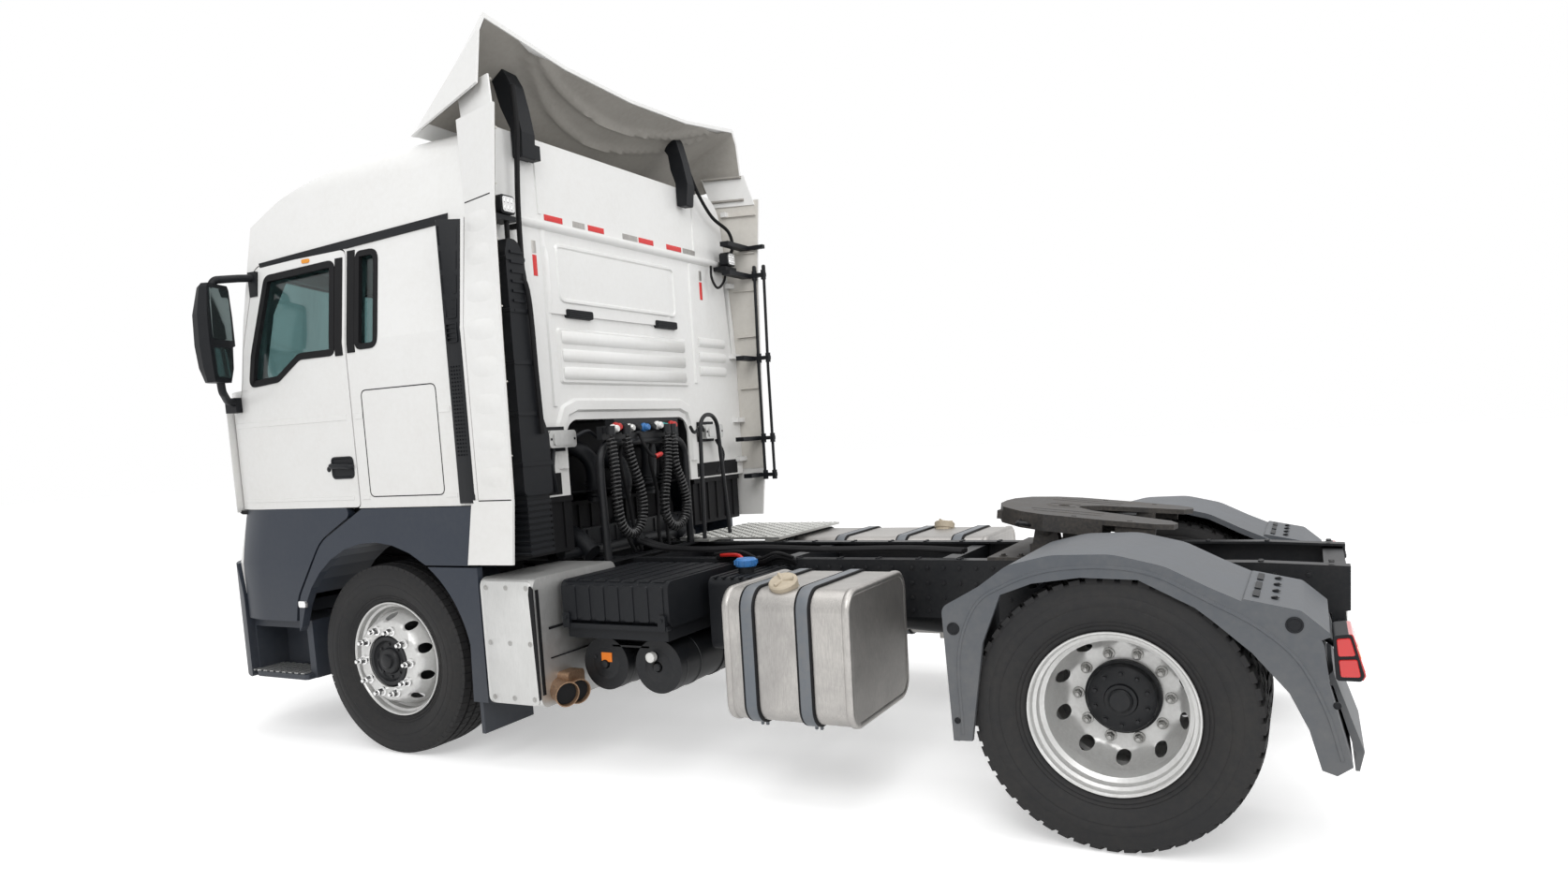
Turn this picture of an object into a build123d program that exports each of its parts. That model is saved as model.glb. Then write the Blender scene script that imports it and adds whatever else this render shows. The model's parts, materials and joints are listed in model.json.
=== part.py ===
from build123d import *
import math
import os

# Semi truck tractor unit, 4x2, with a high-roof sleeper cab.
# Millimetres. +X forward, +Y to the truck's left, +Z up, floor at Z = 0.
# Stations are distances forward of the rear axle; st() turns one into X.

# ---------------------------------------------------------------- driving sizes
WHEELBASE = 3600
FRONT_OVERHANG = 1475
REAR_OVERHANG = 780
REAR_AXLE_X = (REAR_OVERHANG - WHEELBASE - FRONT_OVERHANG) / 2

TYRE_R = 502
TYRE_W = 312
FRONT_TRACK_Y = 1024            # centre plane of a front tyre
REAR_OUTER_Y = 1077             # centre planes of the twin tyres
REAR_INNER_Y = 727
RIM_R = 298.5                   # flange of a 22.5 inch rim
RIM_W = 250
AXLE_Z = TYRE_R

RAIL_Y = 385                    # outer face of a frame rail
RAIL_TOP = 937
RAIL_H = 270
RAIL_T = 10
FLANGE = 75

SIDE_Y = 1220                   # outer face of the cab side at the belt line
WALL = 60                       # thickness of cab walls and doors
CAB_REAR = 2795                 # station of the cab's rear face
FLOOR_Z = 1300                  # underside of the white cab body
BELT_Z = 1950                   # base of the windscreen
EAVE_Z = 2640                   # joint between cab body and roof
ROOF_Z = 3090
PILLAR_LEAN = math.tan(math.radians(12))

DOOR_REAR = 3665
HINGE = (4695, 1229)            # station and |y| of a door's hinge axis
DOOR_FRONT = 4690
GAP = 8                         # gap round a door

TILT_PIVOT = (4960, 780)        # station and height of the cab's tilt axis
PIVOT_R = 20
KINGPIN_Y = 850
KINGPIN_R = 22
STEER_ARM = 190                 # length of the track-rod arms
PLATE_PIVOT = (400, 1080)       # station and height of the coupling's rocking axis
PLATE_REST = 6                  # degrees, tail down


def st(station):
    """X of a station measured forward from the rear axle."""
    return REAR_AXLE_X + station


FRONT_AXLE_X = st(WHEELBASE)

os.makedirs("parts", exist_ok=True)


def write(part, name):
    """Label a finished piece and write its STEP file."""
    part.label = name
    export_step(part, f"parts/{name}.step")


def face(plane, corners, grow=0):
    """Sketch of a closed outline, grown if asked; corners are rows of (u, v, corner radius)."""
    with BuildSketch(plane) as profile:
        with BuildLine():
            FilletPolyline([(u, v) for u, v, r in corners], radius=[r for u, v, r in corners], close=True)
        make_face()
        if grow:
            offset(amount=grow, mode=Mode.REPLACE)
    return profile.sketch


def side_prism(corners, y0, y1, mode=Mode.ADD, grow=0):
    """Solid with a side-view outline: rows of (station, z, radius), from y0 to y1."""
    rows = [(st(x), z, r) for x, z, r in corners]
    extrude(face(Plane.XZ.offset(-y1), rows, grow), amount=y1 - y0, mode=mode)


def plan_prism(corners, z0, z1, mode=Mode.ADD):
    """Solid with a plan outline: rows of (station, y, radius), from z0 to z1."""
    rows = [(st(x), y, r) for x, y, r in corners]
    extrude(face(Plane.XY.offset(z0), rows), amount=z1 - z0, mode=mode)


def cross_prism(corners, x0, x1, mode=Mode.ADD):
    """Solid with a cross-section outline: rows of (y, z, radius), from station x0 to x1."""
    extrude(face(Plane.YZ.offset(st(x0)), corners), amount=x1 - x0, mode=mode)


def block(x, y, z, mode=Mode.ADD):
    """Box between pairs of stations, y and z."""
    with Locations((st(sum(x) / 2), sum(y) / 2, sum(z) / 2)):
        Box(x[1] - x[0], y[1] - y[0], z[1] - z[0], mode=mode)


def rounded(a, b, r):
    """Rectangle outline between two pairs, with one corner radius."""
    return [(a[0], b[0], r), (a[0], b[1], r), (a[1], b[1], r), (a[1], b[0], r)]


def bar_y(x, z, r, y0, y1, mode=Mode.ADD):
    """Round bar across the truck."""
    with BuildSketch(Plane.XZ.offset(-y1)) as end:
        with Locations((st(x), z)):
            Circle(r)
    extrude(end.sketch, amount=y1 - y0, mode=mode)


def bar_z(x, y, r, z0, z1, mode=Mode.ADD):
    """Upright round bar."""
    with BuildSketch(Plane.XY.offset(z0)) as end:
        with Locations((st(x), y)):
            Circle(r)
    extrude(end.sketch, amount=z1 - z0, mode=mode)


def tube(points, radii, r):
    """Round tube along straight runs joined by tangent arcs; points are (station, y, z)."""
    with BuildLine() as path:
        FilletPolyline([(st(x), y, z) for x, y, z in points], radius=radii)
    with BuildSketch(Plane(origin=path.line @ 0, z_dir=path.line % 0)) as end:
        Circle(r)
    sweep(end.sketch, path=path.line)
    return path.line


def both_sides():
    """Copy what is built so far to the other side of the truck."""
    mirror(about=Plane.XZ)


def arch(r, x0, x1, axle_x=WHEELBASE):
    """Points of a wheel arch of radius r from station x0 to x1, for a line of short runs."""
    start = math.acos((x0 - axle_x) / r)
    end = math.acos((x1 - axle_x) / r)
    steps = 10
    turns = [start + (end - start) * i / steps for i in range(steps + 1)]
    return [(axle_x + r * math.cos(t), AXLE_Z + r * math.sin(t), 0) for t in turns]


# ---------------------------------------------------------------- frame
rail_outline = [(-765, 752, 0), (-765, 925, 0), (-450, RAIL_TOP, 0), (4850, RAIL_TOP, 0),
                (4850, RAIL_TOP - RAIL_H, 0), (-300, RAIL_TOP - RAIL_H, 0)]
rail_pocket = [(-755, 762, 0), (-755, 915, 0), (-450, RAIL_TOP - RAIL_T, 0), (4840, RAIL_TOP - RAIL_T, 0),
               (4840, RAIL_TOP - RAIL_H + RAIL_T, 0), (-300, RAIL_TOP - RAIL_H + RAIL_T, 0)]

with BuildPart() as frame_rails:
    side_prism(rail_outline, RAIL_Y - FLANGE, RAIL_Y)
    side_prism(rail_pocket, RAIL_Y - FLANGE - 1, RAIL_Y - RAIL_T, Mode.SUBTRACT)
    block((4700, 4982), (RAIL_Y - 2, RAIL_Y + 16), (735, 825))
    bar_y(*TILT_PIVOT, PIVOT_R, RAIL_Y, 480)
    both_sides()
write(frame_rails.part, "frame_rails")

# station, half length along X, lower z, upper z
JAW = (-755, 837.5)             # station and height of the towing-jaw pattern
crossmembers = [(4760, 40, 790, 920), (2640, 35, 790, 920), (1760, 35, 790, 920), (900, 35, 790, 920),
                (60, 60, 800, 920), (-715, 40, 770, 905)]
with BuildPart() as frame_crossmembers:
    for x, half, low, high in crossmembers:
        block((x - half, x + half), (-RAIL_Y + RAIL_T, RAIL_Y - RAIL_T), (low, high))
        block((x - half + 8, x + half - 8), (-RAIL_Y + 40, RAIL_Y - 40), (low - 1, high - 10), Mode.SUBTRACT)
    # towing-jaw pattern through the end crossmember's rear plate
    with BuildSketch(Plane.YZ.offset(st(JAW[0] - 5))) as jaw_holes:
        with Locations((0, JAW[1])):
            with GridLocations(160, 100, 2, 2):
                Circle(10.5)
    extrude(jaw_holes.sketch, amount=20, mode=Mode.SUBTRACT)
write(frame_crossmembers.part, "frame_crossmembers")

# ---------------------------------------------------------------- powertrain and axles
with BuildPart() as powertrain:
    block((3660, 4700), (-300, 300), (620, 1190))
    block((2950, 3660), (-210, 210), (640, 1040))
    with BuildSketch(Plane(origin=(st(2960), 0, 700), z_dir=(-2640, 0, -170))) as shaft:
        Circle(58)
    extrude(shaft.sketch, amount=math.hypot(2640, 170) - 12)
write(powertrain.part, "powertrain")

with BuildPart() as front_axle:
    cross_prism([(-700, 350, 60), (700, 350, 60), (790, 460, 0), (790, 560, 0), (650, 460, 60),
                 (-650, 460, 60), (-790, 560, 0), (-790, 460, 0)], WHEELBASE - 55, WHEELBASE + 55)
    for side in (-1, 1):
        bar_z(WHEELBASE, side * KINGPIN_Y, 48, 430, 590)
        block((WHEELBASE - 40, WHEELBASE + 40), sorted((side * 760, side * KINGPIN_Y)), (450, 560))
        bar_z(WHEELBASE, side * KINGPIN_Y, KINGPIN_R + 0.05, 420, 600, Mode.SUBTRACT)
        block((WHEELBASE - 90, WHEELBASE + 90), sorted((side * 390, side * 470)), (440, 560))
        block((2870, 4330), sorted((side * 395, side * 465)), (560, 600))
        block((3100, 4100), sorted((side * 395, side * 465)), (600, 625))
        block((2850, 2910), sorted((side * RAIL_Y, side * 475)), (560, 860))
        block((4290, 4350), sorted((side * RAIL_Y, side * 475)), (560, 860))
write(front_axle.part, "front_axle")

with BuildPart() as rear_axle:
    bar_y(0, AXLE_Z, 70, -890, 890)
    with Locations((st(0), 0, AXLE_Z)):
        Sphere(215)
    with BuildSketch(Plane(origin=(st(0), 0, AXLE_Z), z_dir=(1, 0, 0))) as nose:
        Circle(150)
    extrude(nose.sketch, amount=318, taper=12)
    for side in (-1, 1):
        block((-430, 430), sorted((side * 290, side * 400)), (390, 470))
        for x in (-330, 330):
            bar_z(x, side * 345, 120, 470, RAIL_TOP - RAIL_H)
write(rear_axle.part, "rear_axle")

# ---------------------------------------------------------------- wheels
def tyre(y, side):
    """Ring of one tyre, centre plane at side * y."""
    w = TYRE_W / 2
    rows = [(RIM_R - 12, -RIM_W / 2 + 12), (RIM_R + 6, -RIM_W / 2 + 14), (RIM_R + 95, -w), (TYRE_R - 55, -w + 4),
            (TYRE_R - 8, -w + 26), (TYRE_R, -w + 60), (TYRE_R, w - 60), (TYRE_R - 8, w - 26), (TYRE_R - 55, w - 4),
            (RIM_R + 95, w), (RIM_R + 6, RIM_W / 2 - 14), (RIM_R - 12, RIM_W / 2 - 12)]
    return [(r, side * y + across) for r, across in rows]


def spin(rows, x, mode=Mode.ADD):
    """Revolve rows of (radius, y) round a wheel's axis at station x."""
    with BuildSketch(Plane.XY.offset(AXLE_Z)) as section:
        with BuildLine():
            Polyline([(st(x) + r, y) for r, y in rows], close=True)
        make_face()
    revolve(section.sketch, axis=Axis((st(x), 0, AXLE_Z), (0, 1, 0)), mode=mode)


def rim_ring(y, side):
    """Drop-centre rim with its centre plane at side * y."""
    w = RIM_W / 2
    outer = [(RIM_R, w), (RIM_R, w - 10), (RIM_R - 12, w - 12), (RIM_R - 12, -w + 12), (RIM_R, -w + 10),
             (RIM_R, -w), (RIM_R - 22, -w + 4), (RIM_R - 24, -w + 60), (RIM_R - 48, -w + 90),
             (RIM_R - 48, w - 80), (RIM_R - 24, w - 50), (RIM_R - 22, w - 4)]
    return [(r, side * (y + a)) for r, a in outer]


FRONT_DISC_Y = 1196             # outer face of a front wheel's disc
REAR_DISC_Y = 915               # outer face of the outer rear wheel's disc
HAND_HOLES = 10
for name, side in (("left", 1), ("right", -1)):
    with BuildPart() as front_tyre:
        spin(tyre(FRONT_TRACK_Y, side), WHEELBASE)
    write(front_tyre.part, f"front_tyre_{name}")

    with BuildPart() as rear_tyres:
        spin(tyre(REAR_OUTER_Y, side), 0)
        spin(tyre(REAR_INNER_Y, side), 0)
    write(rear_tyres.part, f"rear_tyres_{name}")

    with BuildPart() as front_rim:
        spin(rim_ring(FRONT_TRACK_Y, side), WHEELBASE)
        spin([(62, side * (FRONT_DISC_Y - 14)), (62, side * FRONT_DISC_Y), (205, side * FRONT_DISC_Y),
              (262, side * (FRONT_TRACK_Y + 30)), (262, side * FRONT_TRACK_Y), (250, side * FRONT_TRACK_Y),
              (198, side * (FRONT_DISC_Y - 14))], WHEELBASE)
        for i in range(HAND_HOLES):
            turn = 2 * math.pi * (i + 0.5) / HAND_HOLES
            bar_y(WHEELBASE + 222 * math.cos(turn), AXLE_Z + 222 * math.sin(turn), 22,
                  min(side * 1000, side * 1240), max(side * 1000, side * 1240), Mode.SUBTRACT)
        spin([(0, side * 940), (0, side * 1245), (70, side * 1245), (88, side * 1225), (96, side * 1182),
              (150, side * 1182), (150, side * 1120), (180, side * 1090), (180, side * 940)], WHEELBASE)
    write(front_rim.part, f"front_rim_{name}")

    with BuildPart() as rear_rims:
        spin(rim_ring(REAR_OUTER_Y, side), 0)
        spin(rim_ring(REAR_INNER_Y, side), 0)
        spin([(140, side * (REAR_DISC_Y - 30)), (140, side * REAR_DISC_Y), (205, side * REAR_DISC_Y),
              (262, side * REAR_OUTER_Y), (262, side * (REAR_OUTER_Y - 30)), (214, side * (REAR_DISC_Y - 15)),
              (262, side * (REAR_INNER_Y + 30)), (262, side * REAR_INNER_Y), (200, side * (REAR_DISC_Y - 30))], 0)
        for i in range(HAND_HOLES):
            turn = 2 * math.pi * (i + 0.5) / HAND_HOLES
            bar_y(222 * math.cos(turn), AXLE_Z + 222 * math.sin(turn), 24,
                  min(side * 780, side * 1100), max(side * 780, side * 1100), Mode.SUBTRACT)
        spin([(0, side * 895), (0, side * 1012), (95, side * 1012), (112, side * 995), (118, side * 920),
              (150, side * 920), (150, side * 860), (190, side * 840), (190, side * 640), (80, side * 640),
              (80, side * 895)], 0)
    write(rear_rims.part, f"rear_rims_{name}")

# knuckles turn on the beam's king pins; the track rod joins their arms
with BuildPart() as knuckle_left:
    bar_z(WHEELBASE, KINGPIN_Y, 62, 596, 640)
    bar_z(WHEELBASE, KINGPIN_Y, KINGPIN_R, 420, 600)
    bar_z(WHEELBASE, KINGPIN_Y, 62, 375, 424)
    bar_y(WHEELBASE, AXLE_Z, 60, 904, 934)
    block((WHEELBASE - 62, WHEELBASE + 62), (KINGPIN_Y + 54, KINGPIN_Y + 76), (375, 640))
    block((WHEELBASE - STEER_ARM - 30, WHEELBASE), (KINGPIN_Y - 24, KINGPIN_Y + 24), (375, 400))
write(knuckle_left.part, "knuckle_left")
with BuildPart() as knuckle_right:
    mirror(knuckle_left.part, about=Plane.XZ)
write(knuckle_right.part, "knuckle_right")

with BuildPart() as track_rod:
    bar_y(WHEELBASE - STEER_ARM, 340, 20, -KINGPIN_Y, KINGPIN_Y)
    for side in (-1, 1):
        bar_z(WHEELBASE - STEER_ARM, side * KINGPIN_Y, 24, 315, 369)
write(track_rod.part, "track_rod")

# ---------------------------------------------------------------- side equipment
TANK = ((362, 925), (600, 1235))          # z and y of a fuel tank
STRAP_W = 62
# station range and strap stations, for each side of the truck
tanks = [(1, (978, 1552), (1178, 1432)), (-1, (950, 2330), (1120, 1450, 1830, 2160))]
with BuildPart() as fuel_tanks:
    for side, span, straps in tanks:
        y = sorted((side * TANK[1][0], side * TANK[1][1]))
        cross_prism(rounded(y, TANK[0], 85), *span)
        for x in straps:
            grown = (y[0] - 8, y[1] + 8), (TANK[0][0] - 8, TANK[0][1] + 8)
            cross_prism(rounded(*grown, 92), x - STRAP_W / 2, x + STRAP_W / 2)
            block((x - 40, x + 40), sorted((side * RAIL_Y, side * 640)), (400, 880))
write(fuel_tanks.part, "fuel_tanks")

with BuildPart() as battery_box:
    cross_prism(rounded((450, 1075), (715, 925), 40), 1925, 2530)
    block((1945, 2510), (445, 1065), (650, 720))
    block((2180, 2250), (RAIL_Y, 450), (655, 780))
    cross_prism(rounded((RAIL_Y + 5, 800), (560, 905), 40), 1640, 1880)
    bar_z(1760, 640, 38, 900, 945)
    block((1700, 1740), (RAIL_Y, 420), (600, 850))
write(battery_box.part, "battery_box")

with BuildPart() as air_tanks:
    for x in (2065, 2365):
        bar_y(x, 510, 128, 430, 985)
        block((x - 30, x + 30), (RAIL_Y, 440), (480, 760))
        bar_y(x, 510, 133, 560, 600)
    block((2085, 2345), (500, 900), (590, 640))
write(air_tanks.part, "air_tanks")

with BuildPart() as exhaust_box:
    cross_prism(rounded((600, 1235), (337, 955), 45), 2560, 2885)
    block((2660, 2780), (RAIL_Y, 620), (450, 880))
    block((2498, 2570), (1000, 1110), (345, 480))
write(exhaust_box.part, "exhaust_box")

CATWALK_TOP = 962
with BuildPart() as catwalk:
    block((2080, 2760), (-1180, -330), (950, CATWALK_TOP))
    block((2490, 2590), (-335, -225), (950, CATWALK_TOP))
    for x in (2150, 2690):
        block((x - 25, x + 25), (-1120, -330), (RAIL_TOP, 950))
write(catwalk.part, "catwalk")

# ---------------------------------------------------------------- rear mudguards and lamps
GUARD_Y = (560, 1240)
guard_outer = [(568, 371, 0), (597, 879, 40), (456, 958, 40), (345, 1040, 120), (190, 1078, 260), (-20, 1082, 260),
               (-190, 1042, 200), (-330, 972, 20), (-424, 930, 20), (-662, 815, 60), (-680, 655, 20),
               (-745, 402, 0)]
guard_inner = [(-722, 400, 0), (-656, 650, 20), (-640, 800, 40), (-415, 905, 20), (-322, 948, 20), (-184, 1018, 180),
               (-20, 1058, 240), (186, 1055, 240), (332, 1019, 100), (440, 937, 30), (573, 865, 30),
               (545, 371, 0)]
guard_lip = [(-700, 369, 0), (-657, 383, 0), (-621, 513, 0), (-564, 631, 0), (-456, 758, 0), (-336, 862, 0),
             (-284, 903, 0), (-104, 994, 0), (87, 999, 0), (257, 975, 0), (373, 931, 0), (444, 750, 0), (488, 438, 0),
             (496, 375, 0)]
with BuildPart() as rear_mudguards:
    side_prism(guard_outer + guard_inner, *GUARD_Y)
    side_prism(guard_outer + guard_lip, GUARD_Y[1] - 22, GUARD_Y[1])
    side_prism([(-424, 905, 0), (-426, 938, 10), (-600, 903, 40), (-690, 824, 10), (-650, 806, 0)], 600, GUARD_Y[1])
    side_prism([(-655, 640, 0), (-690, 690, 0), (-700, 655, 0), (-REAR_OVERHANG, 425, 0), (-766, 360, 0),
                (-754, 360, 0), (-754, 420, 0), (-690, 640, 0)], 640, 1140)
    for x, top in ((400, 990), (-420, 920)):
        bar_y(x, 880, 24, RAIL_Y, 640)
        block((x - 26, x + 26), (600, 640), (880, top))
    both_sides()
write(rear_mudguards.part, "rear_mudguards")

BUMPER_X = WHEELBASE + FRONT_OVERHANG


def nose_plan(front, side_y, corner, back):
    """Plan outline of a wrap-round front: two straight sides and two round corners."""
    return [(back, side_y, 0), (front, side_y, corner), (front, -side_y, corner), (back, -side_y, 0)]


FRONT_LAMP = ((615, 965), (700, 880))     # y and z of a lamp in the bumper
with BuildPart() as front_lamp_form:
    plan_prism(nose_plan(BUMPER_X - 6, 1219, 542, 4490), *FRONT_LAMP[1])
    plan_prism(nose_plan(BUMPER_X - 82, 1143, 470, 4489), 699, 881, Mode.SUBTRACT)
    block((4700, BUMPER_X), *FRONT_LAMP, Mode.INTERSECT)
front_lamp = front_lamp_form.part
with BuildPart() as lamps:
    side_prism([(-706, 684, 6), (-694, 812, 0), (-698, 826, 8), (-744, 832, 8), (-REAR_OVERHANG, 700, 8),
                (-772, 684, 6)], 1010, 1235)
    add(front_lamp)
    both_sides()
write(lamps.part, "lamps")

# ---------------------------------------------------------------- bumper, steps and front mudguards
bumper_side = [(4700, 352, 20), (BUMPER_X - 10, 352, 60), (BUMPER_X, 640, 300), (BUMPER_X - 8, 975, 60), (4960, 995, 20), (4815, 992, 0),
               (4760, 945, 0), (4722, 880, 0), (4703, 820, 0), (4700, 780, 0)]
ARCH_R = 622
with BuildPart() as front_bumper:
    plan_prism(nose_plan(BUMPER_X, 1225, 548, 4490), 350, 995)
    plan_prism(nose_plan(BUMPER_X - 90, 1135, 462, 4489), 349, 996, Mode.SUBTRACT)
    side_prism(bumper_side, -1226, 1226, Mode.INTERSECT)
    block((4850, BUMPER_X - 85), (-700, 700), (520, 700))
    for side in (-1, 1):
        block((4860, 4912), sorted((side * 650, side * 1015)), (560, 660))
        block((4870, 5080), sorted((side * FRONT_LAMP[0][0], side * FRONT_LAMP[0][1])), FRONT_LAMP[1], Mode.SUBTRACT)
        block((4215, 4760), sorted((side * 880, side * 1150)), (365, 685))
        block((4262, 4690), sorted((side * 960, side * 1170)), (392, 640), Mode.SUBTRACT)
        plan_prism([(4235, side * 960, 0), (4235, side * 1200, 20), (4640, side * 1200, 60), (4745, side * 1145, 20),
                    (4745, side * 960, 0)], 362, 390)
        block((4600, 4660), sorted((side * RAIL_Y, side * 890)), (560, 660))
write(front_bumper.part, "front_bumper")

with BuildPart() as front_mudguards:
    edge = arch(ARCH_R, 3228, 2990)
    side_prism([(2905, 340, 0), (2905, 1000, 0)] + edge + [(3000, 340, 0)], 1190, 1225)
    liner = arch(ARCH_R + 30, 3180, 2958)
    side_prism(edge + [(3000, 340, 0), (2968, 340, 0)] + liner[::-1], 860, 1200)
    block((2950, 2972), (865, 1215), (180, 345))
    block((2912, 2984), (RAIL_Y, 880), (600, 680))
    both_sides()
write(front_mudguards.part, "front_mudguards")

# ---------------------------------------------------------------- fifth wheel
PIN_R = 27                      # king pin throat
LUG_TOP = PLATE_PIVOT[1] + 26
plate_half = [(674, 0), (666, 130), (618, 275), (510, 388), (400, 435), (150, 445), (-60, 430), (-125, 385),
              (-135, 320), (-100, 250), (60, 190), (250, 120), (330, PIN_R + 6)]
with BuildPart() as fifth_wheel_base:
    block((150, 660), (-RAIL_Y, RAIL_Y), (RAIL_TOP, RAIL_TOP + 14))
    for side in (-1, 1):
        block((330, 470), sorted((side * 300, side * 372)), (RAIL_TOP + 14, 1010))
        for y in (300, 360):
            side_prism([(340, 1000, 0), (360, LUG_TOP, 20), (440, LUG_TOP, 20), (460, 1000, 0)],
                       *sorted((side * y, side * (y + 12))))
    for side in (-1, 1):
        bar_y(PLATE_PIVOT[0], PLATE_PIVOT[1], 15, *sorted((side * 296, side * 376)))
write(fifth_wheel_base.part, "fifth_wheel_base")

PLATE_TOP = 1147
skirt_half = [(674, 0), (666, 130), (618, 275), (510, 388), (400, 435), (150, 445), (150, 427), (396, 417), (500, 372),
              (604, 262), (648, 124), (656, 0)]
skirt_outline = skirt_half[:6] + skirt_half[6:] + [(x, -y) for x, y in skirt_half[10:5:-1]] + [
    (x, -y) for x, y in skirt_half[5:0:-1]]
with BuildPart() as level_plate:
    outline = plate_half + [(x, -y) for x, y in reversed(plate_half[1:])]
    with BuildSketch(Plane.XY.offset(PLATE_TOP - 22)) as plan:
        with BuildLine():
            Polyline([(st(x), y) for x, y in outline], close=True)
        make_face()
        with Locations((st(400), 0)):
            Circle(PIN_R, mode=Mode.SUBTRACT)
    extrude(plan.sketch, amount=22)
    with BuildSketch(Plane.XY.offset(PLATE_TOP - 72)) as skirt:
        with BuildLine():
            Polyline([(st(x), y) for x, y in skirt_outline], close=True)
        make_face()
    extrude(skirt.sketch, amount=52)
    block((430, 650), (-250, 250), (PLATE_TOP - 60, PLATE_TOP - 22))
    for side in (-1, 1):
        block((-60, 100), sorted((side * 395, side * 425)), (PLATE_TOP - 66, PLATE_TOP - 22))
        block((20, 340), sorted((side * 200, side * 222)), (PLATE_TOP - 75, PLATE_TOP - 22))
        block((365, 435), sorted((side * 317, side * 355)), (PLATE_PIVOT[1] - 22, PLATE_TOP - 22))
        bar_y(PLATE_PIVOT[0], PLATE_PIVOT[1], 15.05, *sorted((side * 316, side * 356)), Mode.SUBTRACT)
with BuildPart() as fifth_wheel_plate:
    pivot = Axis((st(PLATE_PIVOT[0]), 0, PLATE_PIVOT[1]), (0, 1, 0))
    add(level_plate.part.rotate(pivot, -PLATE_REST))
write(fifth_wheel_plate.part, "fifth_wheel_plate")

# ---------------------------------------------------------------- service frame and air lines
FRAME_X = 2625
LINE_END_X = 2572
with BuildPart() as service_frame:
    tube([(FRAME_X, 565, RAIL_TOP + 8), (FRAME_X, 578, 1350), (FRAME_X, 575, 1560), (FRAME_X, -235, 1560),
          (FRAME_X, -240, RAIL_TOP + 8)], [400, 110, 110], 21)
    block((FRAME_X - 30, FRAME_X + 30), (-400, 595), (RAIL_TOP, RAIL_TOP + 10))
    block((FRAME_X - 15, FRAME_X + 45), (-160, 450), (1575, 1680))
    block((FRAME_X - 15, FRAME_X + 20), (440, 560), (1575, 1645))
    # sockets the air lines come out of
    for y, z in ((538, 1600), (400, 1600), (20, 1600), (-40, 1600)):
        bar_z(LINE_END_X, y, 24, z, z + 45)
        block((LINE_END_X, FRAME_X), (y - 15, y + 15), (z + 10, z + 40))
    tube([(2540, -262, CATWALK_TOP + 2), (2540, -290, 1690), (2540, -480, 1690), (2540, -560, CATWALK_TOP + 2)],
         [95, 95], 12)
write(service_frame.part, "service_frame")

# Each curly air line leaves the coupling panel, hangs in a loop and goes back up to it.
LINE_R = 28
LINE_X = 2560
air_line_routes = {
    "air_line_left": [(LINE_END_X, 538, 1600), (LINE_END_X, 538, 1550), (LINE_X, 543, 1470), (LINE_X - 12, 556, 1370), (LINE_X - 20, 568, 1230),
                      (LINE_X - 20, 545, 1120), (LINE_X - 20, 455, 1062), (LINE_X - 20, 365, 1115),
                      (LINE_X - 20, 335, 1225), (LINE_X - 14, 352, 1340), (LINE_X, 388, 1450), (LINE_END_X, 400, 1550),
                      (LINE_END_X, 400, 1600)],
    "air_line_right": [(LINE_END_X, 20, 1600), (LINE_END_X, 20, 1550), (LINE_X, 48, 1470), (LINE_X - 10, 72, 1385), (LINE_X - 20, 118, 1290),
                       (LINE_X - 20, 146, 1195), (LINE_X - 20, 108, 1100), (LINE_X - 20, 28, 1062),
                       (LINE_X - 20, -62, 1105), (LINE_X - 20, -96, 1200), (LINE_X - 18, -62, 1310),
                       (LINE_X - 6, -12, 1420), (LINE_END_X, -40, 1540),
                       (LINE_END_X, -40, 1600)],
}


def route_radii(points):
    """Arc radius for each inner point: 0.45 of the shorter run over the tangent of half the turn."""
    radii = []
    for before, here, after in zip(points, points[1:], points[2:]):
        first = Vector(here) - Vector(before)
        second = Vector(after) - Vector(here)
        half_turn = math.radians(first.get_angle(second)) / 2
        radii.append(0.45 * min(first.length, second.length) / math.tan(half_turn))
    return radii


for name, route in air_line_routes.items():
    radii = route_radii(route)
    with BuildPart() as line:
        path = tube(route, radii, LINE_R)
    run = sum(edge.length for edge in path.edges())
    print(name, "length", round(run), "volume ratio", round(line.part.volume / (math.pi * LINE_R ** 2 * run), 4),
          "radii", [round(r) for r in radii])
    write(line.part, name)

# ---------------------------------------------------------------- cab body
body_plan = nose_plan(4960, SIDE_Y, 553, CAB_REAR - 200)
pillar_plan = [(CAB_REAR - 200, SIDE_Y, 0), (4510, SIDE_Y, 90), (4625, 1090, 250), (4880, 430, 600), (4880, -430, 600),
               (4625, -1090, 250), (4510, -SIDE_Y, 90), (CAB_REAR - 200, -SIDE_Y, 0)]


def cross_section(inset):
    """Front-view outline of the cab: upright to the windows, then leaning in, with a round-shouldered roof."""
    half = [(SIDE_Y + 30 - inset, FLOOR_Z - 50, 0), (SIDE_Y + 30 - inset, 1900, 900), (1152 - inset, 2660, 600),
            (1080 - inset, ROOF_Z - inset, 190)]
    return half + [(-y, z, r) for y, z, r in reversed(half)]


def inset_plan(rows, d):
    """Move a plan outline inwards by about d on every side."""
    return [(x - d if x > CAB_REAR else x, y - math.copysign(d, y), max(r - d, 0)) for x, y, r in rows]


def leaning_prism(corners, z0, z1, mode=Mode.ADD):
    """Plan outline, as it is at the belt line, carried from z0 to z1 along the windscreen pillars' lean."""
    rows = [(st(x) + (BELT_Z - z0) * PILLAR_LEAN, y, r) for x, y, r in corners]
    rise = z1 - z0
    lean = Vector(-PILLAR_LEAN, 0, 1)
    extrude(face(Plane.XY.offset(z0), rows), amount=rise * lean.length, dir=lean, mode=mode)


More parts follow.
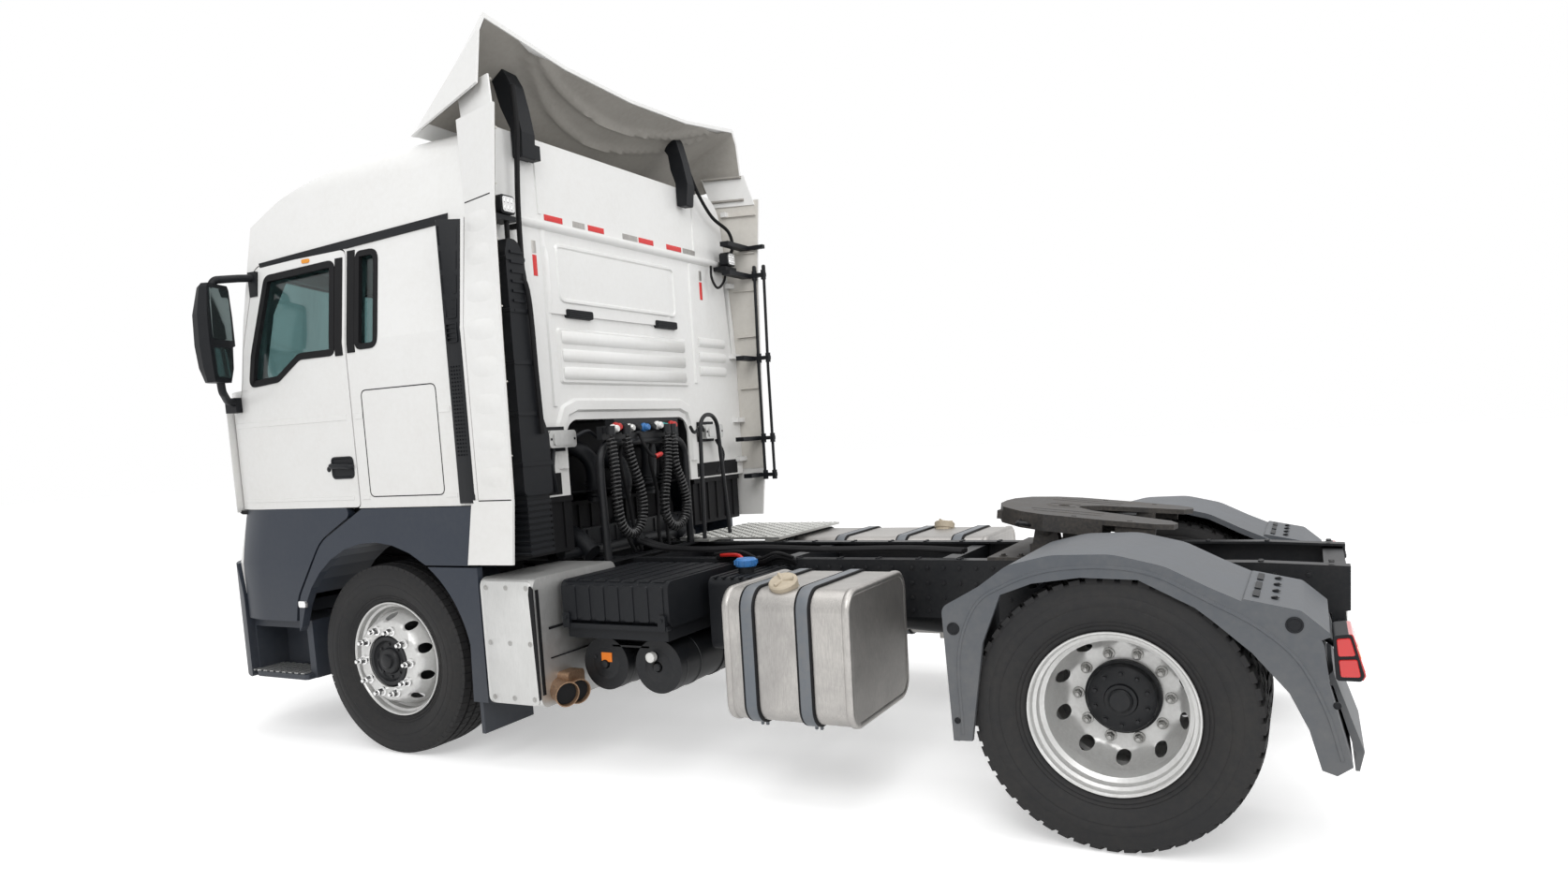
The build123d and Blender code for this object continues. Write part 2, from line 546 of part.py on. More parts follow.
def cab_form(inset, floor=None):
    """Cab volume from the floor to the roof, moved inwards by an inset."""
    with BuildPart() as form:
        plan_prism(inset_plan(body_plan, inset), FLOOR_Z + inset if floor is None else floor, BELT_Z - inset)
        leaning_prism(inset_plan(pillar_plan, inset), BELT_Z - inset, EAVE_Z + 480)
        side_prism([(CAB_REAR + inset, FLOOR_Z - 20, 0), (CAB_REAR + inset, ROOF_Z - inset - 8, 0),
                    (3600, ROOF_Z - inset, 900), (4180, 2930 - inset, 600), (4740, EAVE_Z + 5 - inset, 0),
                    (5100, BELT_Z - inset, 0), (5100, FLOOR_Z - 20, 0)], -1300, 1300, Mode.INTERSECT)
        cross_prism(cross_section(inset), CAB_REAR - 50, 5150, Mode.INTERSECT)
    return form.part


door_outline = [(DOOR_REAR, FLOOR_Z + 5, 25), (DOOR_FRONT, FLOOR_Z + 5, 10), (DOOR_FRONT, 1875, 40), (4535, 1882, 30),
                (4482, 1990, 60), (4366, 2595, 60), (DOOR_REAR, 2600, 40)]
door_window = [(3752, 2088, 30), (4010, 2088, 90), (4190, 1985, 90), (4412, 1970, 30), (4272, 2530, 40),
               (3752, 2548, 40)]
quarter_window = [(3440, 2100, 50), (3580, 2100, 30), (3580, 2570, 30), (3440, 2570, 50)]
screen_outline = [(-1010, 2010, 60), (1010, 2010, 60), (940, 2580, 80), (-940, 2580, 80)]
ROOF_SEAM = 2690                # rear wall's top edge
RECESS_Y = (-560, 620)          # arched recess low in the rear wall
RECESS_TOP = 1690

OPEN_FLOOR = FLOOR_Z - 15       # the walls alone, with no floor, reach this low
outer_form = cab_form(0)
inner_form = cab_form(WALL)
wall_core = cab_form(WALL, OPEN_FLOOR)
gap_core = cab_form(WALL + 30, OPEN_FLOOR)


def door_hole(side):
    """What is cut from the cab side for a door: its outline grown by the gap, through the wall only."""
    with BuildPart() as hole:
        side_prism(door_outline, *sorted((side * 900, side * 1300)), grow=GAP)
        add(gap_core, mode=Mode.SUBTRACT)
    return hole.part


with BuildPart() as cab_shell:
    add(outer_form)
    add(inner_form, mode=Mode.SUBTRACT)
    block((CAB_REAR - 5, 5100), (-1300, 1300), (FLOOR_Z - 5, EAVE_Z), Mode.INTERSECT)
    block((CAB_REAR - 5, CAB_REAR + WALL + 1), (-SIDE_Y + WALL, SIDE_Y - WALL), (FLOOR_Z - 5, EAVE_Z + 5),
          Mode.SUBTRACT)
    for side in (-1, 1):
        add(door_hole(side), mode=Mode.SUBTRACT)
        side_prism(quarter_window, *sorted((side * 1000, side * 1300)), Mode.SUBTRACT)
    cross_prism(screen_outline, 4500, 5100, Mode.SUBTRACT)
    # the door's front edge swings through the corner of the floor
    for side in (-1, 1):
        with BuildPart(mode=Mode.PRIVATE) as swing:
            bar_z(HINGE[0], side * HINGE[1], 160, FLOOR_Z - 6, FLOOR_Z + WALL + 2)
            block((4400, 4699), (-1300, 1300), (FLOOR_Z - 10, FLOOR_Z + 100), Mode.INTERSECT)
        add(swing.part, mode=Mode.SUBTRACT)
    # the arched recess in the rear wall is open downwards
    block((CAB_REAR - 6, CAB_REAR + 170), RECESS_Y, (FLOOR_Z - 6, FLOOR_Z + WALL + 6), Mode.SUBTRACT)
write(cab_shell.part, "cab_shell")

with BuildPart() as cab_roof:
    add(outer_form)
    add(inner_form, mode=Mode.SUBTRACT)
    block((CAB_REAR - 5, 5100), (-1300, 1300), (EAVE_Z, ROOF_Z + 20), Mode.INTERSECT)
    block((CAB_REAR - 5, CAB_REAR + WALL + 1), (-SIDE_Y + WALL + 40, SIDE_Y - WALL - 40), (EAVE_Z - 5, ROOF_SEAM),
          Mode.SUBTRACT)
write(cab_roof.part, "cab_roof")

with BuildPart() as cab_rear_wall:
    wall_y = SIDE_Y - WALL
    cross_prism([(-wall_y, FLOOR_Z, 0), (wall_y, FLOOR_Z, 0), (wall_y, 2050, 0), (1092, EAVE_Z, 0),
                 (-1092, EAVE_Z, 0), (-wall_y, 2050, 0)], CAB_REAR, CAB_REAR + WALL)
    cross_prism([(-1050, EAVE_Z, 0), (1050, EAVE_Z, 0), (1050, ROOF_SEAM, 0), (-1050, ROOF_SEAM, 0)],
                CAB_REAR, CAB_REAR + WALL - 1)
    cross_prism([(RECESS_Y[0] - 40, FLOOR_Z + WALL, 0), (RECESS_Y[0] - 40, RECESS_TOP + 40, 120),
                 (RECESS_Y[1] + 40, RECESS_TOP + 40, 120), (RECESS_Y[1] + 40, FLOOR_Z + WALL, 0)],
                CAB_REAR + 20, CAB_REAR + 200)
    cross_prism([(RECESS_Y[0], FLOOR_Z - 6, 0), (RECESS_Y[0], RECESS_TOP, 100),
                 (RECESS_Y[1], RECESS_TOP, 100), (RECESS_Y[1], FLOOR_Z - 6, 0)],
                CAB_REAR - 1, CAB_REAR + 170, Mode.SUBTRACT)
    for z in (1900, 1960, 2020):
        block((CAB_REAR - 12, CAB_REAR + 5), (-480, 610), (z, z + 26))
    block((CAB_REAR - 12, CAB_REAR + 5), (-420, 700), (2230, 2560))
write(cab_rear_wall.part, "cab_rear_wall")

GLASS = 14
GLASS_DEPTH = 22
glass_outer = cab_form(GLASS_DEPTH)
glass_inner = cab_form(GLASS_DEPTH + GLASS)


def pane(corners, side):
    """Side window: a sheet that follows the cab's outside, cut to a side-view outline."""
    with BuildPart() as sheet:
        add(glass_outer)
        add(glass_inner, mode=Mode.SUBTRACT)
        side_prism(corners, *sorted((side * 1000, side * 1300)), Mode.INTERSECT)
    return sheet.part


with BuildPart() as windscreen:
    add(glass_outer)
    add(glass_inner, mode=Mode.SUBTRACT)
    cross_prism(screen_outline, 4450, 5100, Mode.INTERSECT)
with BuildPart() as cab_glass:
    add(windscreen.part)
    for side in (-1, 1):
        add(pane(quarter_window, side))
write(cab_glass.part, "cab_glass")

def flared(inset):
    """Volume inside the lower panels: their plan widens from the cab floor down to the bumper."""
    with BuildPart() as form:
        for z, front, side_y, corner in ((600, 5038, 1225, 558), (1000, 5038, 1225, 558), (1310, 4945, 1217, 568)):
            rows = [(st(x), y, r) for x, y, r in nose_plan(front - inset, side_y - inset, corner - inset, 3500)]
            add(face(Plane.XY.offset(z), rows))
        loft(ruled=True)
    return form.part


flared_outer = flared(0)
flared_inner = flared(42)
LOWER_FRONT_Z = 1012
# the lower front panel fills in behind the bumper along a circle about the tilt axis
lower_front = [(4698, FLOOR_Z - 2, 0), (4698, 832, 0), (4711, 880, 0), (4745, 940, 0), (4800, 1000, 0),
               (4816, LOWER_FRONT_Z, 0), (5100, LOWER_FRONT_Z, 0), (5100, FLOOR_Z - 2, 0)]
with BuildPart() as front_grille:
    add(flared_outer)
    add(flared_inner, mode=Mode.SUBTRACT)
    side_prism(lower_front, -1300, 1300, Mode.INTERSECT)
    block((4880, 4940), (-900, 900), (1240, FLOOR_Z))
    plan_prism(nose_plan(5005, 1250, 583, 4300), FLOOR_Z - 12, 1860)
    plan_prism(nose_plan(4961, SIDE_Y + 1, 554, 4299), FLOOR_Z, 1861, Mode.SUBTRACT)
    plan_prism(nose_plan(4900, 1160, 500, 4299), FLOOR_Z - 13, FLOOR_Z + 1, Mode.SUBTRACT)
    block((4698, 5100), (-1300, 1300), (800, 2000), Mode.INTERSECT)
write(front_grille.part, "front_grille")

# ---------------------------------------------------------------- air deflectors behind the cab
# half outlines as rows of (y, z), outer face then inner face, at the front and rear stations
deflector_front = [(1060, 3099), (1045, 3108), (1010, 3116), (500, 3120), (0, 3122), (0, 3108), (500, 3106),
                   (1008, 3102), (1040, 3098), (1050, 3096)]
deflector_rear = [(1216, 3195), (1175, 3440), (1132, 3522), (560, 3446), (0, 3424), (0, 3406), (560, 3428),
                  (1122, 3500), (1160, 3434), (1200, 3195)]
DEFLECTOR_X = (3250, 2670)
with BuildPart() as roof_deflector:
    for x, half in zip(DEFLECTOR_X, (deflector_front, deflector_rear)):
        with BuildSketch(Plane.YZ.offset(st(x))):
            with BuildLine():
                Polyline(half, close=True)
            make_face()
    loft(ruled=True)
    both_sides()
write(roof_deflector.part, "roof_deflector")

# side profiles of the two curved stays under the deflector, left and right
stays = [((774, 868), [(2728, 2952, 10), (2788, 2952, 10), (2790, 3092, 8), (2842, 3204, 40), (2876, 3322, 60),
                       (2950, 3438, 20), (2838, 3420, 20), (2770, 3304, 60), (2742, 3184, 40), (2722, 3070, 8)]),
         ((-668, -592), [(2721, 2962, 10), (2788, 2966, 10), (2790, 3100, 8), (2820, 3188, 20), (2832, 3276, 40),
                         (2940, 3420, 20), (2866, 3436, 20), (2772, 3366, 60), (2732, 3223, 40), (2706, 3090, 8)])]
with BuildPart() as above_deflector:
    for x, half in zip(DEFLECTOR_X, (deflector_front, deflector_rear)):
        with BuildSketch(Plane.YZ.offset(st(x))):
            with BuildLine():
                Polyline(half[:5] + [(0, 3900), (half[0][0], 3900)], close=True)
            make_face()
    loft(ruled=True)
    both_sides()
with BuildPart() as deflector_arms:
    for across, profile in stays:
        side_prism(profile, *across)
    block((2735, 2790), (726, 776), (2960, 3030))
    block((2735, 2790), (-720, -668), (3050, 3100))
    add(roof_deflector.part, mode=Mode.SUBTRACT)
    add(above_deflector.part, mode=Mode.SUBTRACT)
write(deflector_arms.part, "deflector_arms")

# plan outlines of a side fin at rising heights: (z, front station, front y, rear station, rear y)
fin_rows = [(1325, 2845, 1222, 2632, 1230), (2133, 2845, 1222, 2616, 1232), (2650, 2840, 1158, 2600, 1232),
            (3085, 2872, 1130, 2562, 1224)]
FIN_T = 14
strip_rows = [(1325, 1221), (2133, 1221), (2640, 1158)]
with BuildPart() as side_fins:
    for z, x0, y0, x1, y1 in fin_rows:
        with BuildSketch(Plane.XY.offset(z)):
            with BuildLine():
                Polyline([(st(x0), y0), (st(x1), y1), (st(x1), y1 + FIN_T), (st(x0), y0 + FIN_T)], close=True)
            make_face()
    loft(ruled=True)
    side_prism([(2632, 1325, 0), (2845, 1325, 0), (2885, 1325, 0), (2944, 1016, 0), (2664, 1018, 0)],
               1228, 1228 + FIN_T)
    for z in (1400, 1660, 2080, 2540, 2680, 3000):
        block((2758, CAB_REAR), (1125, 1150), (z - 15, z + 15))
        block((2758, 2784), (1125, 1232 - (z > 2300) * 34 - (z > 2600) * 26), (z - 15, z + 15))
    for z, y in strip_rows:
        with BuildSketch(Plane.XY.offset(z)):
            with BuildLine():
                Polyline([(st(2853), y), (st(2955), y), (st(2955), y + 11), (st(2853), y + 11)], close=True)
            make_face()
    loft(ruled=True)
    # closing plates between the fins and the roof deflector
    for z, x0, y0, x1, y1 in ((3050, 2850, 1118, 2585, 1208), (3235, 2900, 1084, 2632, 1168)):
        with BuildSketch(Plane.XY.offset(z)):
            with BuildLine():
                Polyline([(st(x0), y0), (st(x1), y1), (st(x1), y1 + 10), (st(x0), y0 + 10)], close=True)
            make_face()
    loft(ruled=True)
    add(roof_deflector.part, mode=Mode.SUBTRACT)
    add(outer_form, mode=Mode.SUBTRACT)
    both_sides()
write(side_fins.part, "side_fins")

with BuildPart() as cab_fenders:
    lip = arch(ARCH_R, 4200, 3243)
    side_prism([(2893, 1296, 0), (2952, 1010, 0), (3240, 1010, 0)] + lip[::-1]
               + [(4222, 640, 0), (4198, 820, 200), (3985, 1125, 260), (3655, 1296, 60)], 1180, 1225)
    inner_lip = arch(ARCH_R, 4120, 3246)
    side_prism(inner_lip + arch(ARCH_R + 24, 4135, 3207)[::-1], 880, 1181)
    block((2960, 3600), (1120, 1181), (1240, FLOOR_Z))
    both_sides()
write(cab_fenders.part, "cab_fenders")

with BuildPart() as air_intake:
    cross_prism([(1118, 1330, 30), (1118, 2470, 40), (1098, 2530, 20), (1020, 2530, 60), (985, 2380, 200),
                 (968, 2200, 300), (968, 1760, 200), (912, 1620, 60), (912, 1330, 30)], 2665, 2788)
    cross_prism([(930, 1040, 20), (930, 1360, 0), (1090, 1360, 0), (1090, 1040, 20)], 2680, 2788)
    block((2780, CAB_REAR), (990, 1080), (1500, 2400))
write(air_intake.part, "air_intake")

SEAT_Y = 560
DASH_Z = 1878                   # the doors' inner ledges sweep over this
with BuildPart() as cab_interior:
    dash_half = [(4360, 1090, 40), (4440, 1090, 40), (4530, 1000, 60), (4620, 800, 60), (4770, 400, 100)]
    plan_prism(dash_half + [(x, -y, r) for x, y, r in reversed(dash_half)], FLOOR_Z + WALL, DASH_Z)
    cowl_half = [(4400, 860, 40), (4560, 840, 60), (4620, 760, 60), (4770, 400, 100)]
    plan_prism(cowl_half + [(x, -y, r) for x, y, r in reversed(cowl_half)], DASH_Z - 5, 1985)
    for side in (-1, 1):
        middle = side * SEAT_Y
        block((3560, 4020), (middle - 170, middle + 170), (FLOOR_Z + WALL, 1560))
        block((3540, 4080), (middle - 260, middle + 260), (1560, 1730))
        side_prism([(3520, 1730, 30), (3680, 1730, 40), (3560, 2440, 40), (3470, 2440, 40)],
                   middle - 250, middle + 250)
        side_prism([(3470, 2445, 30), (3560, 2445, 30), (3540, 2640, 40), (3450, 2640, 40)],
                   middle - 130, middle + 130)
    block((3005, 3430), (-1120, 1120), (FLOOR_Z + WALL, 1745))
    block((2870, 3430), (-1120, 1120), (1740, 1880))
    with BuildSketch(Plane(origin=(st(4230), SEAT_Y, 2000), z_dir=(-0.5, 0, 0.866))) as wheel_ring:
        Circle(228)
        Circle(196, mode=Mode.SUBTRACT)
        Rectangle(400, 60)
        Circle(60)
    extrude(wheel_ring.sketch, amount=28)
    with BuildSketch(Plane(origin=(st(4240), SEAT_Y, 1990), z_dir=(0.5, 0, -0.866))) as column:
        Circle(40)
    extrude(column.sketch, amount=260)
write(cab_interior.part, "cab_interior")

# ---------------------------------------------------------------- doors
cladding_outline = [(3674, FLOOR_Z + 5, 30), (3995, 1133, 260), (4210, 826, 200), (4238, 694, 10),
                    (DOOR_FRONT, 694, 10), (DOOR_FRONT, FLOOR_Z + 5, 0)]
HEAD = (4405, 1385)             # station and |y| of a mirror head's middle
HEAD_TURN = 20
# a mirror head's levels: z, inner and outer edge of the glass side, depth of the housing
head_rows = [(1985, -40, 86, 66), (2060, -70, 94, 92), (2172, -82, 100, 100), (2180, -102, 100, 100),
             (2330, -102, 96, 96), (2470, -94, 76, 62), (2490, -84, 66, 44)]


def head_plan(inner, outer, depth):
    """Plan of a mirror head about its middle: flat glass side behind, rounded housing in front."""
    return [(-22, inner), (-22, outer), (0.35 * depth, outer), (0.8 * depth, outer - 22), (depth, outer - 55),
            (depth, inner + 55), (0.8 * depth, inner + 22), (0.35 * depth, inner)]


for name, side in (("left", 1), ("right", -1)):
    outer_y = sorted((side * 900, side * 1300))
    with BuildPart() as door:
        add(outer_form)
        add(wall_core, mode=Mode.SUBTRACT)
        side_prism(door_outline, *outer_y, Mode.INTERSECT)
        side_prism(door_window, *outer_y, Mode.SUBTRACT)
    write(door.part, f"door_{name}")

    with BuildPart() as door_glass:
        add(pane(door_window, side))
    write(door_glass.part, f"door_glass_{name}")

    with BuildPart() as door_cladding:
        add(flared_outer)
        add(flared_inner, mode=Mode.SUBTRACT)
        side_prism(cladding_outline, *outer_y, Mode.INTERSECT)
    write(door_cladding.part, f"door_cladding_{name}")

    with BuildPart() as mirror_unit:
        for low, high in zip(head_rows, head_rows[1:]):
            for z, *across in (low, high):
                turned = Plane(origin=(st(HEAD[0]), side * HEAD[1], z)).rotated((0, 0, side * HEAD_TURN))
                with BuildSketch(turned):
                    with BuildLine():
                        Polyline([(x, side * y) for x, y in head_plan(*across)], close=True)
                    make_face()
            loft(ruled=True)
        tube([(4365, side * 1150, 2542), (4390, side * 1250, 2532), (4425, side * 1365, 2516),
              (4430, side * 1376, 2470)], [120, 36], 20)
        tube([(4560, side * 1195, 1880), (4520, side * 1290, 1896), (4440, side * 1370, 1940),
              (4425, side * 1385, 2010)], [80, 40], 20)
        block((4335, 4395), sorted((side * 1120, side * 1185)), (2440, 2570))
        block((4520, 4610), sorted((side * 1180, side * 1246)), (1835, 1915))
        add(outer_form, mode=Mode.SUBTRACT)
    write(mirror_unit.part, f"mirror_{name}")
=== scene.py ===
import json
import math

import bmesh
import bpy
from mathutils import Matrix, Vector
from mathutils.bvhtree import BVHTree

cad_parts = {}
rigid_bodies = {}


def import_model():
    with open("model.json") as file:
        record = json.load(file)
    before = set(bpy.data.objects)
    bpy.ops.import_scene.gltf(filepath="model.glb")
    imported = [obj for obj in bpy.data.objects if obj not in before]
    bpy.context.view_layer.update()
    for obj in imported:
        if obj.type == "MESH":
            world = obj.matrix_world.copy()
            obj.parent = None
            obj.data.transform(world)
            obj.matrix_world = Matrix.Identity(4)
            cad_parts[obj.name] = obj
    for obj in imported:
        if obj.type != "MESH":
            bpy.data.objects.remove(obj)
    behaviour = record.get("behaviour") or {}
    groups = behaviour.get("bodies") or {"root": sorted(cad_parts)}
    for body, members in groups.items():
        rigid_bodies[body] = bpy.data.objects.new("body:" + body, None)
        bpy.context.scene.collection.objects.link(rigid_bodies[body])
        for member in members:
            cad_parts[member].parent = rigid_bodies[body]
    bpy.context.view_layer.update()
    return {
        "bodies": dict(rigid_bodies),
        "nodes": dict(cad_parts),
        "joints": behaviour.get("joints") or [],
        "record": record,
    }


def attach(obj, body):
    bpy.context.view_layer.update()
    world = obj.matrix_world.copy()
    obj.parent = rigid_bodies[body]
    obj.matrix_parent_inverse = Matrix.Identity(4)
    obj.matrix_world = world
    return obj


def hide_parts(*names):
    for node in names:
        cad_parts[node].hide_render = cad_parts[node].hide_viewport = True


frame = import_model()
NODES = frame["nodes"]

# ---------------------------------------------------------------- frame of the truck, in metres
REAR_AXLE_X = -2.1475
WHEELBASE = 3.6
AXLE_Z = 0.502
FRONT_Y, OUTER_Y, INNER_Y = 1.024, 1.077, 0.727      # centre planes of the front wheel and the rear twins
SIDES = (("left", 1), ("right", -1))


def st(station):
    """X of a station in metres forward of the rear axle."""
    return REAR_AXLE_X + station


# ---------------------------------------------------------------- materials
def new_material(name):
    mat = bpy.data.materials.new(name)
    mat.use_nodes = True
    nt = mat.node_tree
    return mat, nt, nt.nodes["Principled BSDF"]


def noise(nt, scale, detail=4.0, rough=0.55, stretch=None, distortion=0.0):
    """Noise texture in the row frame, with its own scale per axis if asked."""
    tex = nt.nodes.new("ShaderNodeTexNoise")
    tex.inputs["Scale"].default_value = scale
    tex.inputs["Detail"].default_value = detail
    tex.inputs["Roughness"].default_value = rough
    tex.inputs["Distortion"].default_value = distortion
    coord = nt.nodes.new("ShaderNodeTexCoord")
    if stretch:
        mapping = nt.nodes.new("ShaderNodeMapping")
        mapping.inputs["Scale"].default_value = stretch
        nt.links.new(coord.outputs["Object"], mapping.inputs["Vector"])
        nt.links.new(mapping.outputs["Vector"], tex.inputs["Vector"])
    else:
        nt.links.new(coord.outputs["Object"], tex.inputs["Vector"])
    return tex.outputs["Fac"]


def ramp(nt, fac, stops):
    """Colour ramp through (position, colour) stops."""
    node = nt.nodes.new("ShaderNodeValToRGB")
    while len(node.color_ramp.elements) < len(stops):
        node.color_ramp.elements.new(0.5)
    for element, (pos, colour) in zip(node.color_ramp.elements, stops):
        element.position = pos
        element.color = (*colour, 1) if len(colour) == 3 else colour
    nt.links.new(fac, node.inputs["Fac"])
    return node.outputs["Color"]


def mix(nt, fac, a, b):
    node = nt.nodes.new("ShaderNodeMix")
    node.data_type = "RGBA"
    for socket, value in ((node.inputs[0], fac), (node.inputs[6], a), (node.inputs[7], b)):
        if isinstance(value, bpy.types.NodeSocket):
            nt.links.new(value, socket)
        elif isinstance(value, (int, float)):
            socket.default_value = value
        else:
            socket.default_value = (*value, 1) if len(value) == 3 else value
    return node.outputs[2]


def bump(nt, shader, height, strength, distance):
    node = nt.nodes.new("ShaderNodeBump")
    node.inputs["Strength"].default_value = strength
    node.inputs["Distance"].default_value = distance
    nt.links.new(height, node.inputs["Height"])
    nt.links.new(node.outputs["Normal"], shader.inputs["Normal"])


def math_node(nt, op, a, b=None, clamp=False):
    node = nt.nodes.new("ShaderNodeMath")
    node.operation = op
    node.use_clamp = clamp
    for socket, value in zip(node.inputs, (a, b)):
        if value is None:
            continue
        if isinstance(value, bpy.types.NodeSocket):
            nt.links.new(value, socket)
        else:
            socket.default_value = value
    return node.outputs[0]


def height_z(nt):
    coord = nt.nodes.new("ShaderNodeTexCoord")
    sep = nt.nodes.new("ShaderNodeSeparateXYZ")
    nt.links.new(coord.outputs["Object"], sep.inputs[0])
    return sep.outputs["Z"]


def surface(name, colour, dirt, rough=0.5, metallic=0.0, dirt_amount=0.35, dirt_scale=3.0, grain=0.0, grain_size=900,
            coat=0.0, specular=0.5, low_dirt=0.0, low_z=(0.3, 1.3)):
    """General weathered surface: base colour, patchy dirt, more of it low down, and a fine moulded grain."""
    mat, nt, shader = new_material(name)
    patch = noise(nt, dirt_scale, 8, 0.65)
    fine = noise(nt, dirt_scale * 12, 6, 0.6)
    amount = math_node(nt, "MULTIPLY", patch, fine)
    amount = ramp(nt, amount, [(0.16, (0, 0, 0)), (0.42, (1, 1, 1))])
    amount = math_node(nt, "MULTIPLY", amount, dirt_amount)
    if low_dirt:
        z = height_z(nt)
        drop = nt.nodes.new("ShaderNodeMapRange")
        drop.inputs["From Min"].default_value = low_z[1]
        drop.inputs["From Max"].default_value = low_z[0]
        nt.links.new(z, drop.inputs["Value"])
        low = math_node(nt, "MULTIPLY", drop.outputs[0], low_dirt)
        low = math_node(nt, "MULTIPLY", low, math_node(nt, "ADD", patch, 0.4))
        amount = math_node(nt, "ADD", amount, low, clamp=True)
    colour_out = mix(nt, amount, colour, dirt)
    nt.links.new(colour_out, shader.inputs["Base Color"])
    rough_out = math_node(nt, "ADD", math_node(nt, "MULTIPLY", amount, 0.35), rough, clamp=True)
    nt.links.new(rough_out, shader.inputs["Roughness"])
    shader.inputs["Metallic"].default_value = metallic
    shader.inputs["Specular IOR Level"].default_value = specular
    if coat:
        shader.inputs["Coat Weight"].default_value = coat
        shader.inputs["Coat Roughness"].default_value = 0.12
    if grain:
        bump(nt, shader, noise(nt, grain_size, 3, 0.5), grain, 0.0004)
    return mat


def brushed(name, colour, dark, stretch, rough=0.32, streak=0.5):
    """Brushed or streaky metal sheet."""
    mat, nt, shader = new_material(name)
    lines = noise(nt, 60, 6, 0.7, stretch)
    cloud = noise(nt, 2.6, 8, 0.7, None, 0.6)
    both = math_node(nt, "MULTIPLY", lines, cloud)
    fac = ramp(nt, both, [(0.12, (0, 0, 0)), (0.42, (1, 1, 1))])
    fac = math_node(nt, "MULTIPLY", fac, streak)
    nt.links.new(mix(nt, fac, dark, colour), shader.inputs["Base Color"])
    shader.inputs["Metallic"].default_value = 0.9
    rough_out = math_node(nt, "ADD", math_node(nt, "MULTIPLY", lines, 0.22), rough, clamp=True)
    nt.links.new(rough_out, shader.inputs["Roughness"])
    bump(nt, shader, lines, 0.12, 0.0006)
    return mat


def glass():
    mat, _, shader = new_material("tinted_glass")
    for name, value in (("Base Color", (0.30, 0.42, 0.42, 1)), ("Roughness", 0.02), ("IOR", 1.45),
                        ("Transmission Weight", 1.0)):
        shader.inputs[name].default_value = value
    return mat


